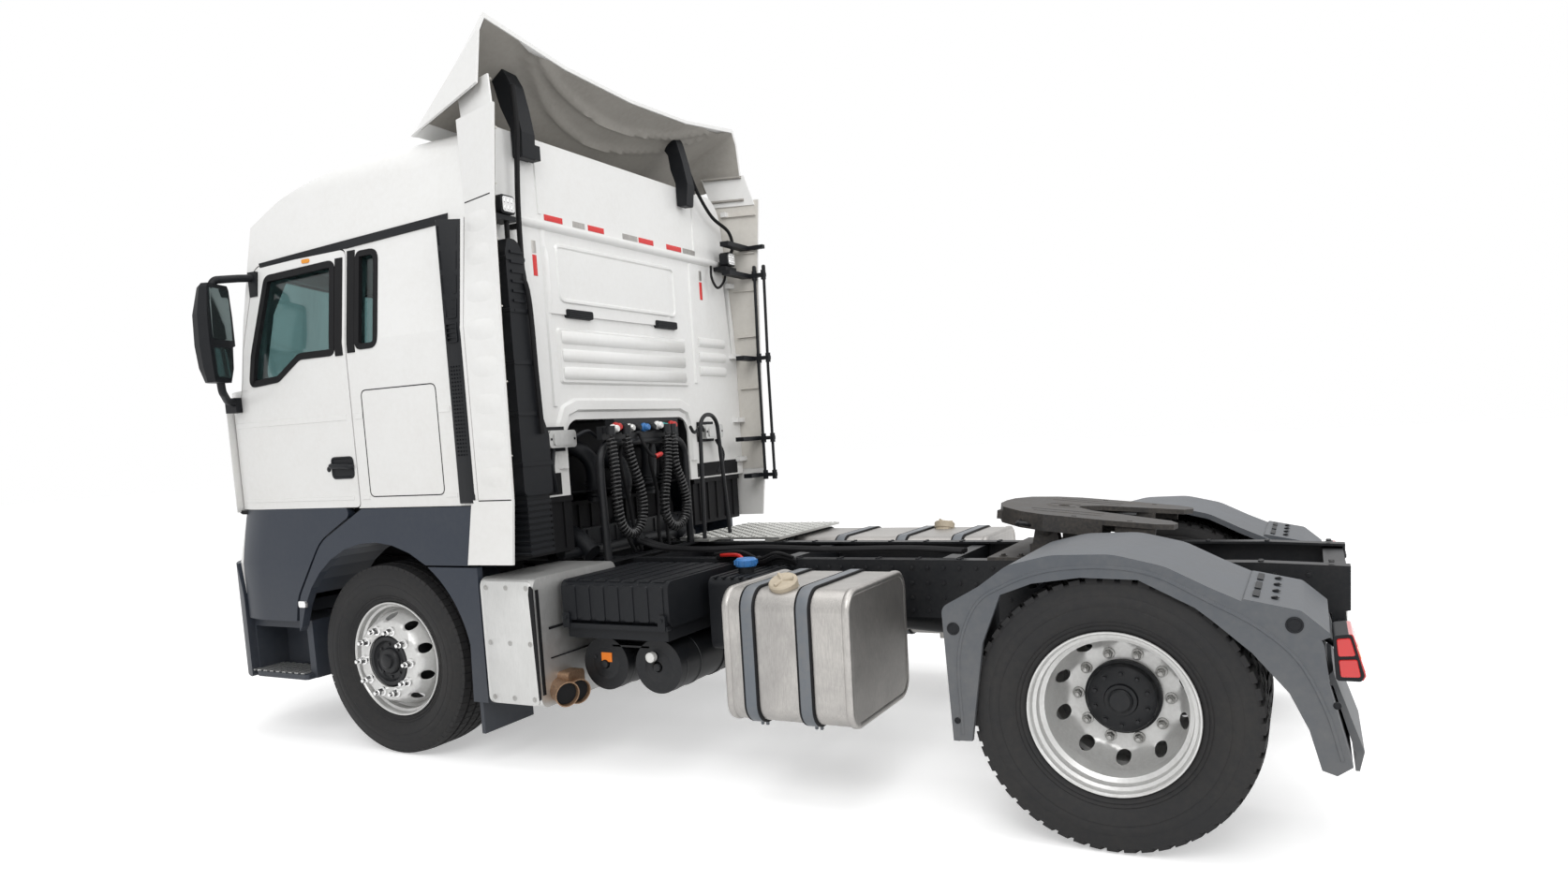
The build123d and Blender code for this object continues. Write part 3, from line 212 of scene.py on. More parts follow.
M = {
    "white": surface("white_paint", (0.74, 0.74, 0.73), (0.42, 0.38, 0.32), 0.30, dirt_amount=0.10, coat=0.25,
                     low_dirt=0.12, low_z=(1.2, 2.2)),
    "grey": surface("slate_panels", (0.021, 0.028, 0.042), (0.10, 0.098, 0.095), 0.45, dirt_amount=0.10,
                    specular=0.35, grain=0.10, low_dirt=0.25, low_z=(0.3, 1.0)),
    "black": surface("black_plastic", (0.005, 0.006, 0.008), (0.045, 0.042, 0.040), 0.50, dirt_amount=0.08, grain=0.15,
                     specular=0.25),
    "frame": surface("chassis_paint", (0.006, 0.007, 0.009), (0.05, 0.045, 0.04), 0.42, dirt_amount=0.18, specular=0.3,
                     dirt_scale=5),
    "tyre": surface("tyre_rubber", (0.013, 0.013, 0.014), (0.055, 0.051, 0.046), 0.70, dirt_amount=0.30, grain=0.25,
                    grain_size=400, specular=0.35),
    "rim": surface("wheel_silver", (0.62, 0.62, 0.61), (0.20, 0.18, 0.16), 0.34, 0.40, dirt_amount=0.22, dirt_scale=6),
    "tank": brushed("tank_sheet", (0.74, 0.71, 0.67), (0.30, 0.29, 0.28), (5.0, 5.0, 0.5)),
    "box_sheet": brushed("cover_sheet", (0.74, 0.74, 0.73), (0.50, 0.50, 0.49), (6.0, 1.0, 0.4), 0.38),
    "tread_plate": brushed("tread_plate", (0.70, 0.70, 0.68), (0.42, 0.42, 0.40), (1, 1, 1), 0.36),
    "iron": surface("greasy_iron", (0.028, 0.027, 0.027), (0.13, 0.11, 0.09), 0.50, 0.35, dirt_amount=0.5,
                    dirt_scale=6, grain=0.35, grain_size=160),
    "lamp": surface("lamp_red", (0.55, 0.012, 0.012), (0.3, 0.03, 0.02), 0.12, dirt_amount=0.15, coat=0.5),
    "guard": surface("mudguard_plastic", (0.062, 0.070, 0.082), (0.17, 0.165, 0.155), 0.48, dirt_amount=0.22,
                     grain=0.15, low_dirt=0.3, low_z=(0.3, 1.1)),
    "line": surface("curly_line", (0.014, 0.014, 0.015), (0.06, 0.055, 0.05), 0.32, dirt_amount=0.1),
    "fabric": surface("cab_trim", (0.10, 0.10, 0.11), (0.16, 0.16, 0.16), 0.9, dirt_amount=0.3, grain=0.5,
                      grain_size=1500, specular=0.2),
    "glass": glass(),
    "mirror": surface("mirror_glass", (0.16, 0.20, 0.20), (0.12, 0.14, 0.14), 0.04, 0.9, dirt_amount=0.05),
    "chrome": surface("bright_metal", (0.80, 0.80, 0.80), (0.4, 0.38, 0.35), 0.14, 0.95, dirt_amount=0.1),
    "zinc": surface("zinc_nuts", (0.42, 0.42, 0.41), (0.14, 0.12, 0.10), 0.38, 0.75, dirt_amount=0.5, dirt_scale=20),
    "red": surface("red_fitting", (0.45, 0.015, 0.012), (0.12, 0.03, 0.02), 0.35, dirt_amount=0.15),
    "beige": surface("beige_cap", (0.42, 0.36, 0.27), (0.16, 0.13, 0.10), 0.5, dirt_amount=0.3),
    "orange": surface("orange_label", (0.80, 0.20, 0.01), (0.3, 0.15, 0.06), 0.5, dirt_amount=0.1),
    "yellow": surface("amber_lens", (0.75, 0.28, 0.01), (0.3, 0.15, 0.06), 0.2, dirt_amount=0.1),
    "blue": surface("blue_cap", (0.03, 0.16, 0.42), (0.1, 0.1, 0.12), 0.4, dirt_amount=0.2),
    "teal": surface("teal_fitting", (0.02, 0.25, 0.24), (0.08, 0.08, 0.08), 0.4, dirt_amount=0.2),
    "copper": surface("heated_pipe", (0.38, 0.24, 0.15), (0.10, 0.07, 0.05), 0.4, 0.8, dirt_amount=0.6,
                      dirt_scale=9),
    # painted shade: the white deflector's underside and its ledges, coloured dark grey-beige for the shade under them
    "underside": surface("deflector_underside_painted_shade", (0.30, 0.285, 0.26), (0.16, 0.15, 0.13), 0.6, dirt_amount=0.25),
    "reflector": surface("reflective_red", (0.60, 0.02, 0.02), (0.3, 0.05, 0.04), 0.25, dirt_amount=0.1),
    "strap": surface("tank_strap", (0.115, 0.130, 0.148), (0.22, 0.20, 0.18), 0.42, dirt_amount=0.3),
    # painted shade: beige-grey for the shaded inner faces of the white fins
    "inner": surface("inner_panels_painted_shade", (0.56, 0.54, 0.50), (0.30, 0.27, 0.23), 0.5, dirt_amount=0.2),
    "rubber": surface("rubber_seal", (0.005, 0.005, 0.006), (0.035, 0.034, 0.032), 0.65, dirt_amount=0.10,
                      specular=0.2),
}

NODE_MATERIAL = {
    "white": ("cab_shell", "cab_roof", "cab_rear_wall", "front_grille", "roof_deflector", "side_fins", "door_left",
              "door_right"),
    "grey": ("door_cladding_left", "door_cladding_right", "cab_fenders", "front_bumper", "front_mudguards"),
    "black": ("air_intake", "mirror_left", "mirror_right", "battery_box", "deflector_arms"),
    "frame": ("frame_rails", "frame_crossmembers", "powertrain", "front_axle", "rear_axle", "air_tanks",
              "service_frame", "knuckle_left", "knuckle_right", "track_rod"),
    "tyre": ("front_tyre_left", "front_tyre_right", "rear_tyres_left", "rear_tyres_right"),
    "rim": ("front_rim_left", "front_rim_right", "rear_rims_left", "rear_rims_right"),
    "tank": ("fuel_tanks",),
    "box_sheet": ("exhaust_box",),
    "tread_plate": ("catwalk",),
    "iron": ("fifth_wheel_plate", "fifth_wheel_base"),
    "lamp": ("lamps",),
    "guard": ("rear_mudguards",),
    "line": ("air_line_left", "air_line_right"),
    "fabric": ("cab_interior",),
    "glass": ("cab_glass", "door_glass_left", "door_glass_right"),
}
for key, names in NODE_MATERIAL.items():
    for name in names:
        NODES[name].data.materials.clear()
        NODES[name].data.materials.append(M[key])

# ---------------------------------------------------------------- camera
PHOTO_W, PHOTO_H = 1674, 940
FOCAL = 1088.8                            # pixels
CENTRE_U, CENTRE_V = 830.5, 571.3         # where the view's axis meets the picture, in pixels
SENSOR = 36                               # mm


def camera():
    data = bpy.data.cameras.new("photo_camera")
    cam = bpy.data.objects.new("photo_camera", data)
    bpy.context.scene.collection.objects.link(cam)
    yaw, pitch, roll = (math.radians(a) for a in (-62.33, -5.76, -3.29))
    forward = Vector((math.cos(pitch) * math.cos(yaw), math.cos(pitch) * math.sin(yaw), math.sin(pitch)))
    right = forward.cross(Vector((0, 0, 1))).normalized()
    up = right.cross(forward)
    right, up = (math.cos(roll) * right + math.sin(roll) * up, -math.sin(roll) * right + math.cos(roll) * up)
    turn = Matrix((right, up, -forward)).transposed().to_4x4()
    cam.matrix_world = Matrix.Translation((st(-0.623), 4.841, 1.565)) @ turn
    data.lens = FOCAL / PHOTO_W * SENSOR
    data.sensor_width = SENSOR
    data.sensor_fit = "HORIZONTAL"
    data.shift_x = (PHOTO_W / 2 - CENTRE_U) / PHOTO_W
    data.shift_y = (CENTRE_V - PHOTO_H / 2) / PHOTO_W
    data.clip_end = 200
    bpy.context.scene.camera = cam


camera()


def side_frame(side):
    """Maps (station, z, distance out) of one side of the truck to a point."""
    return lambda u, v, w: (st(u), side * w, v)


def rear_frame(u, v, w):
    """Maps (y, z, station) to a point."""
    return (st(w), u, v)


def plan_frame(u, v, w):
    """Maps (station, y, z) to a point."""
    return (st(u), v, w)


def rounded(u0, u1, v0, v1, r, steps=4):
    """Rectangle with round corners, as a loop of points."""
    loop = []
    for cu, cv, turn in ((u1 - r, v1 - r, 0), (u0 + r, v1 - r, 90), (u0 + r, v0 + r, 180), (u1 - r, v0 + r, 270)):
        for i in range(steps + 1):
            a = math.radians(turn + 90 * i / steps)
            loop.append((cu + r * math.cos(a), cv + r * math.sin(a)))
    return loop


def loop_of(corners, step=0.06, arc_steps=5):
    """Closed loop through corner rows of (u, v, radius), with arcs at the corners and points along long runs."""
    out = []
    n = len(corners)
    for i in range(n):
        here = Vector(corners[i][:2])
        back = Vector(corners[i - 1][:2]) - here
        ahead = Vector(corners[(i + 1) % n][:2]) - here
        half = back.angle(ahead) / 2
        reach = min(corners[i][2] / math.tan(half), 0.49 * back.length, 0.49 * ahead.length)
        a, b = here + back.normalized() * reach, here + ahead.normalized() * reach
        for k in range(arc_steps + 1 if reach > 1e-4 else 1):
            t = k / arc_steps
            out.append((1 - t) ** 2 * a + 2 * t * (1 - t) * here + t * t * b)
    full = []
    for a, b in zip(out, out[1:] + out[:1]):
        count = max(1, math.ceil((b - a).length / step))
        full += [tuple(a.lerp(b, k / count)) for k in range(count)]
    return full


def soft_box(u0, u1, v0, v1, r, step=0.06):
    """Rectangle as loop_of gives it, with one radius at its corners."""
    return loop_of([(u0, v0, r), (u1, v0, r), (u1, v1, r), (u0, v1, r)], step)


def grown(loop, d):
    """Loop moved outwards by d."""
    pts = [Vector(p) for p in loop]
    turn = sum(a.x * b.y - a.y * b.x for a, b in zip(pts, pts[1:] + pts[:1]))
    sign = 1 if turn > 0 else -1
    out = []
    for before, here, after in zip(pts[-1:] + pts[:-1], pts, pts[1:] + pts[:1]):
        along = (after - before).normalized()
        out.append((here.x + sign * d * along.y, here.y - sign * d * along.x))
    return out


class Shape:
    """Faces gathered for one piece."""

    def __init__(self):
        self.verts = []
        self.faces = []

    def add(self, verts, faces):
        start = len(self.verts)
        self.verts += [tuple(v) for v in verts]
        self.faces += [tuple(i + start for i in f) for f in faces]

    def prism(self, loop, low, high, frame=plan_frame, taper=0.0):
        """Solid on an outline from low to high; taper shrinks the high end."""
        n = len(loop)
        top = grown(loop, -taper) if taper else loop
        verts = [frame(u, v, low) for u, v in loop] + [frame(u, v, high) for u, v in top]
        faces = [tuple(range(n)), tuple(range(n, 2 * n))]
        faces += [(i, (i + 1) % n, n + (i + 1) % n, n + i) for i in range(n)]
        self.add(verts, faces)

    def box(self, x, y, z):
        """Block over ranges of station, y and z."""
        self.prism([(x[0], y[0]), (x[1], y[0]), (x[1], y[1]), (x[0], y[1])], z[0], z[1])

    def rings(self, rows, closed=True, caps=True):
        """Skin over rows of points, all of one length."""
        n = len(rows[0])
        verts = [p for row in rows for p in row]
        faces = []
        last = n if closed else n - 1
        for r in range(len(rows) - 1):
            for i in range(last):
                j = (i + 1) % n
                faces.append((r * n + i, r * n + j, (r + 1) * n + j, (r + 1) * n + i))
        if caps and closed:
            faces += [tuple(range(n)), tuple(range((len(rows) - 1) * n, len(rows) * n))]
        self.add(verts, faces)

    def tube(self, points, r, sides=10):
        """Round tube along points."""
        pts = [Vector(p) for p in points]
        tangents = [(b - a).normalized() for a, b in zip(pts[:1] + pts, pts[1:] + pts[-1:])]
        normal = tangents[0].orthogonal().normalized()
        rows = []
        for p, t in zip(pts, tangents):
            normal = (normal - t * normal.dot(t)).normalized()
            other = t.cross(normal)
            rows.append([p + r * (math.cos(2 * math.pi * k / sides) * normal
                                  + math.sin(2 * math.pi * k / sides) * other) for k in range(sides)])
        self.rings(rows)

    def revolve(self, profile, centre, axis=(0, 1, 0), segments=48, closed=True):
        """Turns rows of (radius, along) about an axis through centre; a closed profile is a ring."""
        axis = Vector(axis).normalized()
        first = axis.orthogonal().normalized()
        second = axis.cross(first)
        centre = Vector(centre)
        rows = []
        for k in range(segments + 1):
            a = 2 * math.pi * k / segments
            out = math.cos(a) * first + math.sin(a) * second
            rows.append([centre + axis * w + out * r for r, w in profile])
        self.rings(rows, closed=closed, caps=False)

    def cap(self, profile, centre, axis=(0, 1, 0), segments=48):
        """Turned solid that closes on its own axis."""
        self.revolve(profile, centre, axis, segments, closed=False)

    def hose(self, points, r, sides=8, steps=6):
        """Round line through points of (station, y, z)."""
        self.tube(smooth_line(at(points), steps), r, sides)

    def layers(self, frame, loops, caps=True):
        """Skin over pairs of (loop, depth) in a frame."""
        self.rings([[frame(u, v, w) for u, v in loop] for loop, w in loops], caps=caps)

    def dome(self, centre, axis, r, height, segments=20, flat=0.6):
        """Round button or cap standing on centre."""
        self.revolve([(0, 0), (r, 0), (r, height * flat), (r * 0.86, height * 0.9), (r * 0.5, height), (0, height)],
                     centre, axis, segments, closed=False)

    def bolt(self, centre, axis, r=0.009, height=0.008, washer=True):
        """Hexagon head on a washer."""
        axis = Vector(axis).normalized()
        first = axis.orthogonal().normalized()
        second = axis.cross(first)
        centre = Vector(centre)

        def ring(radius, up, count):
            return [centre + axis * up + radius * (math.cos(2 * math.pi * k / count) * first
                                                   + math.sin(2 * math.pi * k / count) * second) for k in range(count)]
        if washer:
            self.rings([ring(r * 1.5, 0, 12), ring(r * 1.5, height * 0.25, 12)])
        self.rings([ring(r, 0, 6), ring(r, height * 0.85, 6), ring(r * 0.82, height, 6)])

    def make(self, name, material, body, sharp=38):
        mesh = bpy.data.meshes.new(name)
        mesh.from_pydata([tuple(v) for v in self.verts], [], self.faces)
        bm = bmesh.new()
        bm.from_mesh(mesh)
        bmesh.ops.remove_doubles(bm, verts=bm.verts, dist=1e-5)
        bmesh.ops.recalc_face_normals(bm, faces=bm.faces)
        bm.to_mesh(mesh)
        bm.free()
        mesh.polygons.foreach_set("use_smooth", [True] * len(mesh.polygons))
        mesh.set_sharp_from_angle(angle=math.radians(sharp))
        mesh.materials.append(M[material])
        obj = bpy.data.objects.new(name, mesh)
        bpy.context.scene.collection.objects.link(obj)
        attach(obj, body)
        return obj


def at(points):
    """Points of (station, y, z) in the row frame."""
    return [(st(x), y, z) for x, y, z in points]


def smooth_line(points, steps=8):
    """Catmull-Rom curve through points."""
    pts = [Vector(p) for p in points]
    ends = [2 * pts[0] - pts[1]] + pts + [2 * pts[-1] - pts[-2]]
    out = []
    for a, b, c, d in zip(ends, ends[1:], ends[2:], ends[3:]):
        for k in range(steps):
            t = k / steps
            out.append(0.5 * ((2 * b) + (c - a) * t + (2 * a - 5 * b + 4 * c - d) * t * t
                              + (3 * b - a - 3 * c + d) * t ** 3))
    return out + [pts[-1]]


def turns(count, phase=0.0):
    """Angles of count equal steps round a circle."""
    return [2 * math.pi * (k + phase) / count for k in range(count)]


def on_circle(centre, r, a, out):
    """Point at angle a on a wheel's circle of radius r, moved out along its axis."""
    return (centre[0] + r * math.cos(a), centre[1] + out, centre[2] + r * math.sin(a))


def span(side, a, b):
    """Range of y between two distances out on one side."""
    return sorted((side * a, side * b))


def divided(path, step):
    """Path of (u, v) with points no further apart than step."""
    line = []
    for a, b in zip(path, path[1:]):
        a, b = Vector(a), Vector(b)
        count = max(1, math.ceil((b - a).length / step))
        line += [a.lerp(b, k / count) for k in range(count)]
    return line + [Vector(path[-1])]


def walk(line):
    """Each point of a line with the normal there."""
    for i, p in enumerate(line):
        along = (line[min(i + 1, len(line) - 1)] - line[max(i - 1, 0)]).normalized()
        yield p, Vector((-along.y, along.x))


def skin_of(*names):
    """Ray caster on the CAD nodes named: gives the first point hit, or None."""
    verts, polys = [], []
    for name in names:
        mesh = NODES[name].data
        start = len(verts)
        verts += [NODES[name].matrix_world @ v.co for v in mesh.vertices]
        polys += [[i + start for i in p.vertices] for p in mesh.polygons]
    tree = BVHTree.FromPolygons(verts, polys)
    return lambda origin, direction: tree.ray_cast(Vector(origin), Vector(direction))[0]


# ---------------------------------------------------------------- air lines
LINE_R = 0.028
WIRE_R = 0.0065
LINE_PITCH = 0.0205
LINE_END_X = 2.572
LINE_X = 2.56
AIR_LINES = {
    "left": [(LINE_END_X, 0.538, 1.600), (LINE_END_X, 0.538, 1.550), (LINE_X, 0.543, 1.470),
             (LINE_X - 0.012, 0.556, 1.370), (LINE_X - 0.020, 0.568, 1.230), (LINE_X - 0.020, 0.545, 1.120),
             (LINE_X - 0.020, 0.455, 1.062), (LINE_X - 0.020, 0.365, 1.115), (LINE_X - 0.020, 0.335, 1.225),
             (LINE_X - 0.014, 0.352, 1.340), (LINE_X, 0.388, 1.450), (LINE_END_X, 0.400, 1.550),
             (LINE_END_X, 0.400, 1.600)],
    "right": [(LINE_END_X, 0.020, 1.600), (LINE_END_X, 0.020, 1.550), (LINE_X, 0.048, 1.470),
              (LINE_X - 0.010, 0.072, 1.385), (LINE_X - 0.020, 0.118, 1.290), (LINE_X - 0.020, 0.146, 1.195),
              (LINE_X - 0.020, 0.108, 1.100), (LINE_X - 0.020, 0.028, 1.062), (LINE_X - 0.020, -0.062, 1.105),
              (LINE_X - 0.020, -0.096, 1.200), (LINE_X - 0.018, -0.062, 1.310), (LINE_X - 0.006, -0.012, 1.420),
              (LINE_END_X, -0.040, 1.540), (LINE_END_X, -0.040, 1.600)],
}


def centre_line(points):
    """Points along the smooth curve that the route's points control."""
    curve = bpy.data.curves.new("route", "CURVE")
    curve.dimensions = "3D"
    curve.resolution_u = 24
    spline = curve.splines.new("NURBS")
    spline.points.add(len(points) - 1)
    for point, place in zip(spline.points, points):
        point.co = (*place, 1)
    spline.order_u = 3
    spline.use_endpoint_u = True
    holder = bpy.data.objects.new("route", curve)
    bpy.context.scene.collection.objects.link(holder)
    mesh = bpy.data.meshes.new_from_object(holder)
    line = [v.co.copy() for v in mesh.vertices]
    bpy.data.objects.remove(holder)
    bpy.data.curves.remove(curve)
    bpy.data.meshes.remove(mesh)
    return line


def air_line(name):
    """Curly plastic air line: a wire wound in a helix along its centre line."""
    line = centre_line(at(AIR_LINES[name]))
    runs = [(b - a).length for a, b in zip(line, line[1:])]
    length = sum(runs)
    tail = 0.010
    turns = (length - 2 * tail) / LINE_PITCH
    per_turn = 14
    count = int(turns * per_turn)
    points = []
    i, done = 0, 0.0
    tangent = (line[1] - line[0]).normalized()
    normal = Vector((1, 0, 0))
    normal = (normal - tangent * normal.dot(tangent)).normalized()
    for k in range(-8, count + 9):
        along = tail + (length - 2 * tail) * min(max(k, 0), count) / count
        along += tail * (min(k, 0) + max(k - count, 0)) / 8
        while i < len(runs) - 1 and done + runs[i] < along:
            done += runs[i]
            i += 1
        t = (along - done) / runs[i]
        place = line[i].lerp(line[i + 1], t)
        tangent = (line[i + 1] - line[i]).normalized()
        normal = (normal - tangent * normal.dot(tangent)).normalized()
        other = tangent.cross(normal)
        grow = min(1.0, max(0.0, min(k, count - k) / 10))
        a = 2 * math.pi * k / per_turn
        points.append(place + (LINE_R - WIRE_R) * grow * (math.cos(a) * normal + math.sin(a) * other))
    shape = Shape()
    shape.tube(points, WIRE_R, sides=7)
    obj = shape.make(f"curly_air_line_{name}", "line", "chassis", sharp=80)
    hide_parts(f"air_line_{name}")


for which in AIR_LINES:
    air_line(which)

# ---------------------------------------------------------------- wheels
TYRE_R = 0.502
RIM_R = 0.2985
WHEELS = [(f"front_{name}", f"wheel_front_{name}", WHEELBASE, FRONT_Y, side, False, f"front_tyre_{name}")
          for name, side in SIDES]
WHEELS += [(f"rear_{where}_{name}", f"wheels_rear_{name}", 0.0, y, side, True, f"rear_tyres_{name}")
           for name, side in SIDES for where, y in (("outer", OUTER_Y), ("inner", INNER_Y))]
# half section of a tyre: (radius, distance from its centre plane), from bead to shoulder, with moulded rings
SIDEWALL = [(0.292, 0.100), (0.302, 0.116), (0.312, 0.122), (0.320, 0.128), (0.323, 0.125), (0.334, 0.133),
            (0.337, 0.131), (0.350, 0.141), (0.372, 0.150), (0.392, 0.1545), (0.395, 0.1525), (0.404, 0.1545),
            (0.408, 0.156), (0.428, 0.1545), (0.431, 0.1525), (0.440, 0.1535), (0.452, 0.150), (0.470, 0.146),
            (0.480, 0.142)]
GROOVE_R = 0.487


# faces of a block of eight corners that is open below
LID = [(4, 5, 6, 7), (0, 1, 5, 4), (1, 2, 6, 5), (2, 3, 7, 6), (3, 0, 4, 7)]


def tyre(label, body, x, y, side, drive):
    """Tyre with sidewall rings and tread blocks."""
    shape = Shape()
    centre = (st(x), side * y, AXLE_Z)
    half = SIDEWALL + [(GROOVE_R, 0.134)]
    profile = half + [(GROOVE_R, -0.134)] + [(r, -w) for r, w in reversed(SIDEWALL)]
    shape.revolve(profile, centre, (0, 1, 0), 96)
    if drive:
        rows = [(-0.141, -0.088, 0.0, 52, 0.34), (-0.080, -0.006, 0.5, 52, 0.22), (0.006, 0.080, 0.0, 52, 0.22),
                (0.088, 0.141, 0.5, 52, 0.34)]
    else:
        rows = [(-0.141, -0.094, 0.0, 78, 0.06), (-0.082, -0.034, 0.3, 78, 0.10), (-0.024, 0.024, 0.6, 78, 0.10),
                (0.034, 0.082, 0.9, 78, 0.10), (0.094, 0.141, 0.2, 78, 0.06)]
    for low, high, phase, count, gap in rows:
        for k in range(count):
            a0 = 2 * math.pi * (k + phase) / count
            a1 = a0 + 2 * math.pi * (1 - gap) / count
            skew = 0.25 * 2 * math.pi / count if drive else 0.0
            block = []
            for r, shrink in ((GROOVE_R - 0.004, -0.002), (TYRE_R - 0.001 * (abs(low + high) > 0.2), 0.002)):
                for a, w in ((a0, low), (a1, low), (a1 + skew, high), (a0 + skew, high)):
                    edge = w + (shrink if w == low else -shrink)
                    radius = r - 0.006 * (abs(edge) > 0.13)
                    block.append((centre[0] + radius * math.cos(a), centre[1] + edge, centre[2] + radius * math.sin(a)))
            shape.add(block, LID)
    return shape.make(f"tyre_{label}", "tyre", body, sharp=30)


def profile_y(rows, r):
    """Distance along the axis at radius r on a profile of (radius, distance) rows."""
    for (r0, y0), (r1, y1) in zip(rows, rows[1:]):
        if r0 <= r <= r1:
            return y0 + (y1 - y0) * (r - r0) / (r1 - r0)
    return rows[-1][1]


def holed_disc(shape, centre, side, rows, thick, hole_r, semi, count=10):
    """Wheel disc on rows of (radius, y) with a ring of oval hand holes; semi is (along radius, across)."""
    r0, r1 = rows[0][0], rows[-1][0]
    half = math.pi / count
    steps = 8
    edge = [(-half + 2 * half * k / steps, r0) for k in range(steps)]
    edge += [(half, r0 + (r1 - r0) * k / steps) for k in range(steps)]
    edge += [(half - 2 * half * k / steps, r1) for k in range(steps)]
    edge += [(-half, r1 - (r1 - r0) * k / steps) for k in range(steps)]
    hole = []
    for t, r in edge:
        a = math.atan2((r - hole_r) / (r1 - r0), t / (2 * half))
        hole.append((semi[1] / hole_r * math.cos(a), hole_r + semi[0] * math.sin(a)))
    levels = [0.0, 0.35, 0.7, 0.92, 1.0]
    for turn in turns(count, 0.5):

        def place(t, r, depth):
            return on_circle(centre, r, turn + t, side * (profile_y(rows, r) - depth))
        front = [[place(t0 + (t1 - t0) * f, q0 + (q1 - q0) * f, 0.004 * (f == 1.0))
                  for (t0, q0), (t1, q1) in zip(edge, hole)] for f in levels]
        back = [[place(t0 + (t1 - t0) * f, q0 + (q1 - q0) * f, thick)
                 for (t0, q0), (t1, q1) in zip(edge, hole)] for f in reversed(levels)]
        shape.rings(front + back, caps=False)


def nuts(shape, centre, side, y, circle, count, r, height):
    for a in turns(count):
        spot = on_circle(centre, circle, a, side * y)
        shape.cap([(0, 0), (r * 1.35, 0), (r * 1.3, height * 0.25), (r, height * 0.3), (0, height * 0.3)],
                  spot, (0, side, 0), 16)
        shape.bolt(spot, (0, side, 0), r, height, washer=False)
        shape.dome([spot[0], spot[1] + side * height, spot[2]], (0, side, 0), r * 0.62, height * 0.45, 12)


def barrel(shape, centre, side):
    """Rim from its outer lip through the stepped barrel to the inner lip."""
    rows = [(RIM_R, 0.125), (RIM_R + 0.002, 0.121), (RIM_R - 0.003, 0.114), (RIM_R - 0.010, 0.112),
            (RIM_R - 0.010, -0.112), (RIM_R, -0.121), (RIM_R, -0.125), (RIM_R - 0.018, -0.121),
            (RIM_R - 0.022, -0.06), (RIM_R - 0.046, -0.04), (RIM_R - 0.046, 0.045), (RIM_R - 0.030, 0.056),
            (RIM_R - 0.026, 0.088), (RIM_R - 0.014, 0.094), (RIM_R - 0.010, 0.119), (RIM_R - 0.005, 0.125)]
    shape.revolve([(r, side * w) for r, w in rows], centre, (0, 1, 0), 96)


def front_wheel(name, side):
    centre = (st(WHEELBASE), side * FRONT_Y, AXLE_Z)
    wheel = Shape()
    barrel(wheel, centre, side)
    rows = [(0.138, 0.172), (0.190, 0.172), (0.204, 0.168), (0.218, 0.152), (0.240, 0.098), (0.250, 0.060),
            (0.256, 0.020)]
    holed_disc(wheel, centre, side, rows, 0.012, 0.226, (0.017, 0.026))
    obj = wheel.make(f"wheel_disc_front_{name}", "rim", f"wheel_front_{name}", sharp=30)
    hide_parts(f"front_rim_{name}")
    hub = Shape()
    hub.cap([(0, 0.192), (0.026, 0.192), (0.034, 0.188), (0.038, 0.176), (0.060, 0.174), (0.066, 0.168),
             (0.070, 0.156), (0.098, 0.154), (0.104, 0.160), (0.108, 0.170), (0.126, 0.172), (0.134, 0.164),
             (0.1375, 0.140), (0.0, 0.140)],
            centre, (0, side, 0), 48)
    hub.cap([(0, -0.10), (0.150, -0.10), (0.176, -0.06), (0.176, 0.10), (0.15, 0.145), (0, 0.145)],
            centre, (0, side, 0), 40)
    for a in turns(8):
        hub.bolt(on_circle(centre, 0.084, a, side * 0.154), (0, side, 0), 0.008, 0.008)
    hub.make(f"hub_front_{name}", "frame", f"wheel_front_{name}", sharp=30)
    studs = Shape()
    nuts(studs, centre, side, 0.172, 0.1675, 10, 0.0185, 0.044)
    studs.make(f"wheel_nuts_front_{name}", "chrome", f"wheel_front_{name}", sharp=30)


def rear_wheels(name, side):
    outer = (st(0), side * OUTER_Y, AXLE_Z)
    inner = (st(0), side * INNER_Y, AXLE_Z)
    wheel = Shape()
    barrel(wheel, outer, side)
    barrel(wheel, inner, -side)
    rows = [(0.128, -0.162), (0.192, -0.162), (0.205, -0.157), (0.220, -0.140), (0.244, -0.070), (0.254, -0.030)]
    holed_disc(wheel, outer, side, rows, 0.011, 0.227, (0.019, 0.027))
    inner_rows = [(0.128, -0.162), (0.192, -0.162), (0.254, -0.030)]
    holed_disc(wheel, inner, -side, inner_rows, 0.011, 0.227, (0.019, 0.027))
    obj = wheel.make(f"wheel_discs_rear_{name}", "rim", f"wheels_rear_{name}", sharp=30)
    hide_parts(f"rear_rims_{name}")
    hub = Shape()
    y0 = -0.162
    hub.cap([(0, y0 + 0.100), (0.036, y0 + 0.100), (0.044, y0 + 0.094), (0.046, y0 + 0.086), (0.058, y0 + 0.084),
             (0.062, y0 + 0.072), (0.110, y0 + 0.066), (0.124, y0 + 0.058), (0.130, y0 + 0.044),
             (0.130, y0 + 0.030), (0.140, y0 + 0.026), (0.140, y0 + 0.001), (0.0, y0 + 0.001)],
            outer, (0, side, 0), 56)
    hub.cap([(0, -0.36), (0.13, -0.36), (0.17, -0.33), (0.19, -0.30), (0.19, -0.20), (0.17, -0.175), (0, -0.175)],
            outer, (0, side, 0), 40)
    for a in turns(10, 0.5):
        hub.bolt(on_circle(outer, 0.098, a, side * (y0 + 0.067)), (0, side, 0), 0.009, 0.011)
    hub.make(f"hub_rear_{name}", "frame", f"wheels_rear_{name}", sharp=30)
    studs = Shape()
    nuts(studs, outer, side, y0, 0.1675, 10, 0.0165, 0.030)
    studs.make(f"wheel_nuts_rear_{name}", "zinc", f"wheels_rear_{name}", sharp=30)


for label, body, x, y, side, drive, node in WHEELS:
    piece = tyre(label, body, x, y, side, drive)
    if "inner" not in label:
        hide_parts(node)
for name, side in SIDES:
    front_wheel(name, side)
    rear_wheels(name, side)


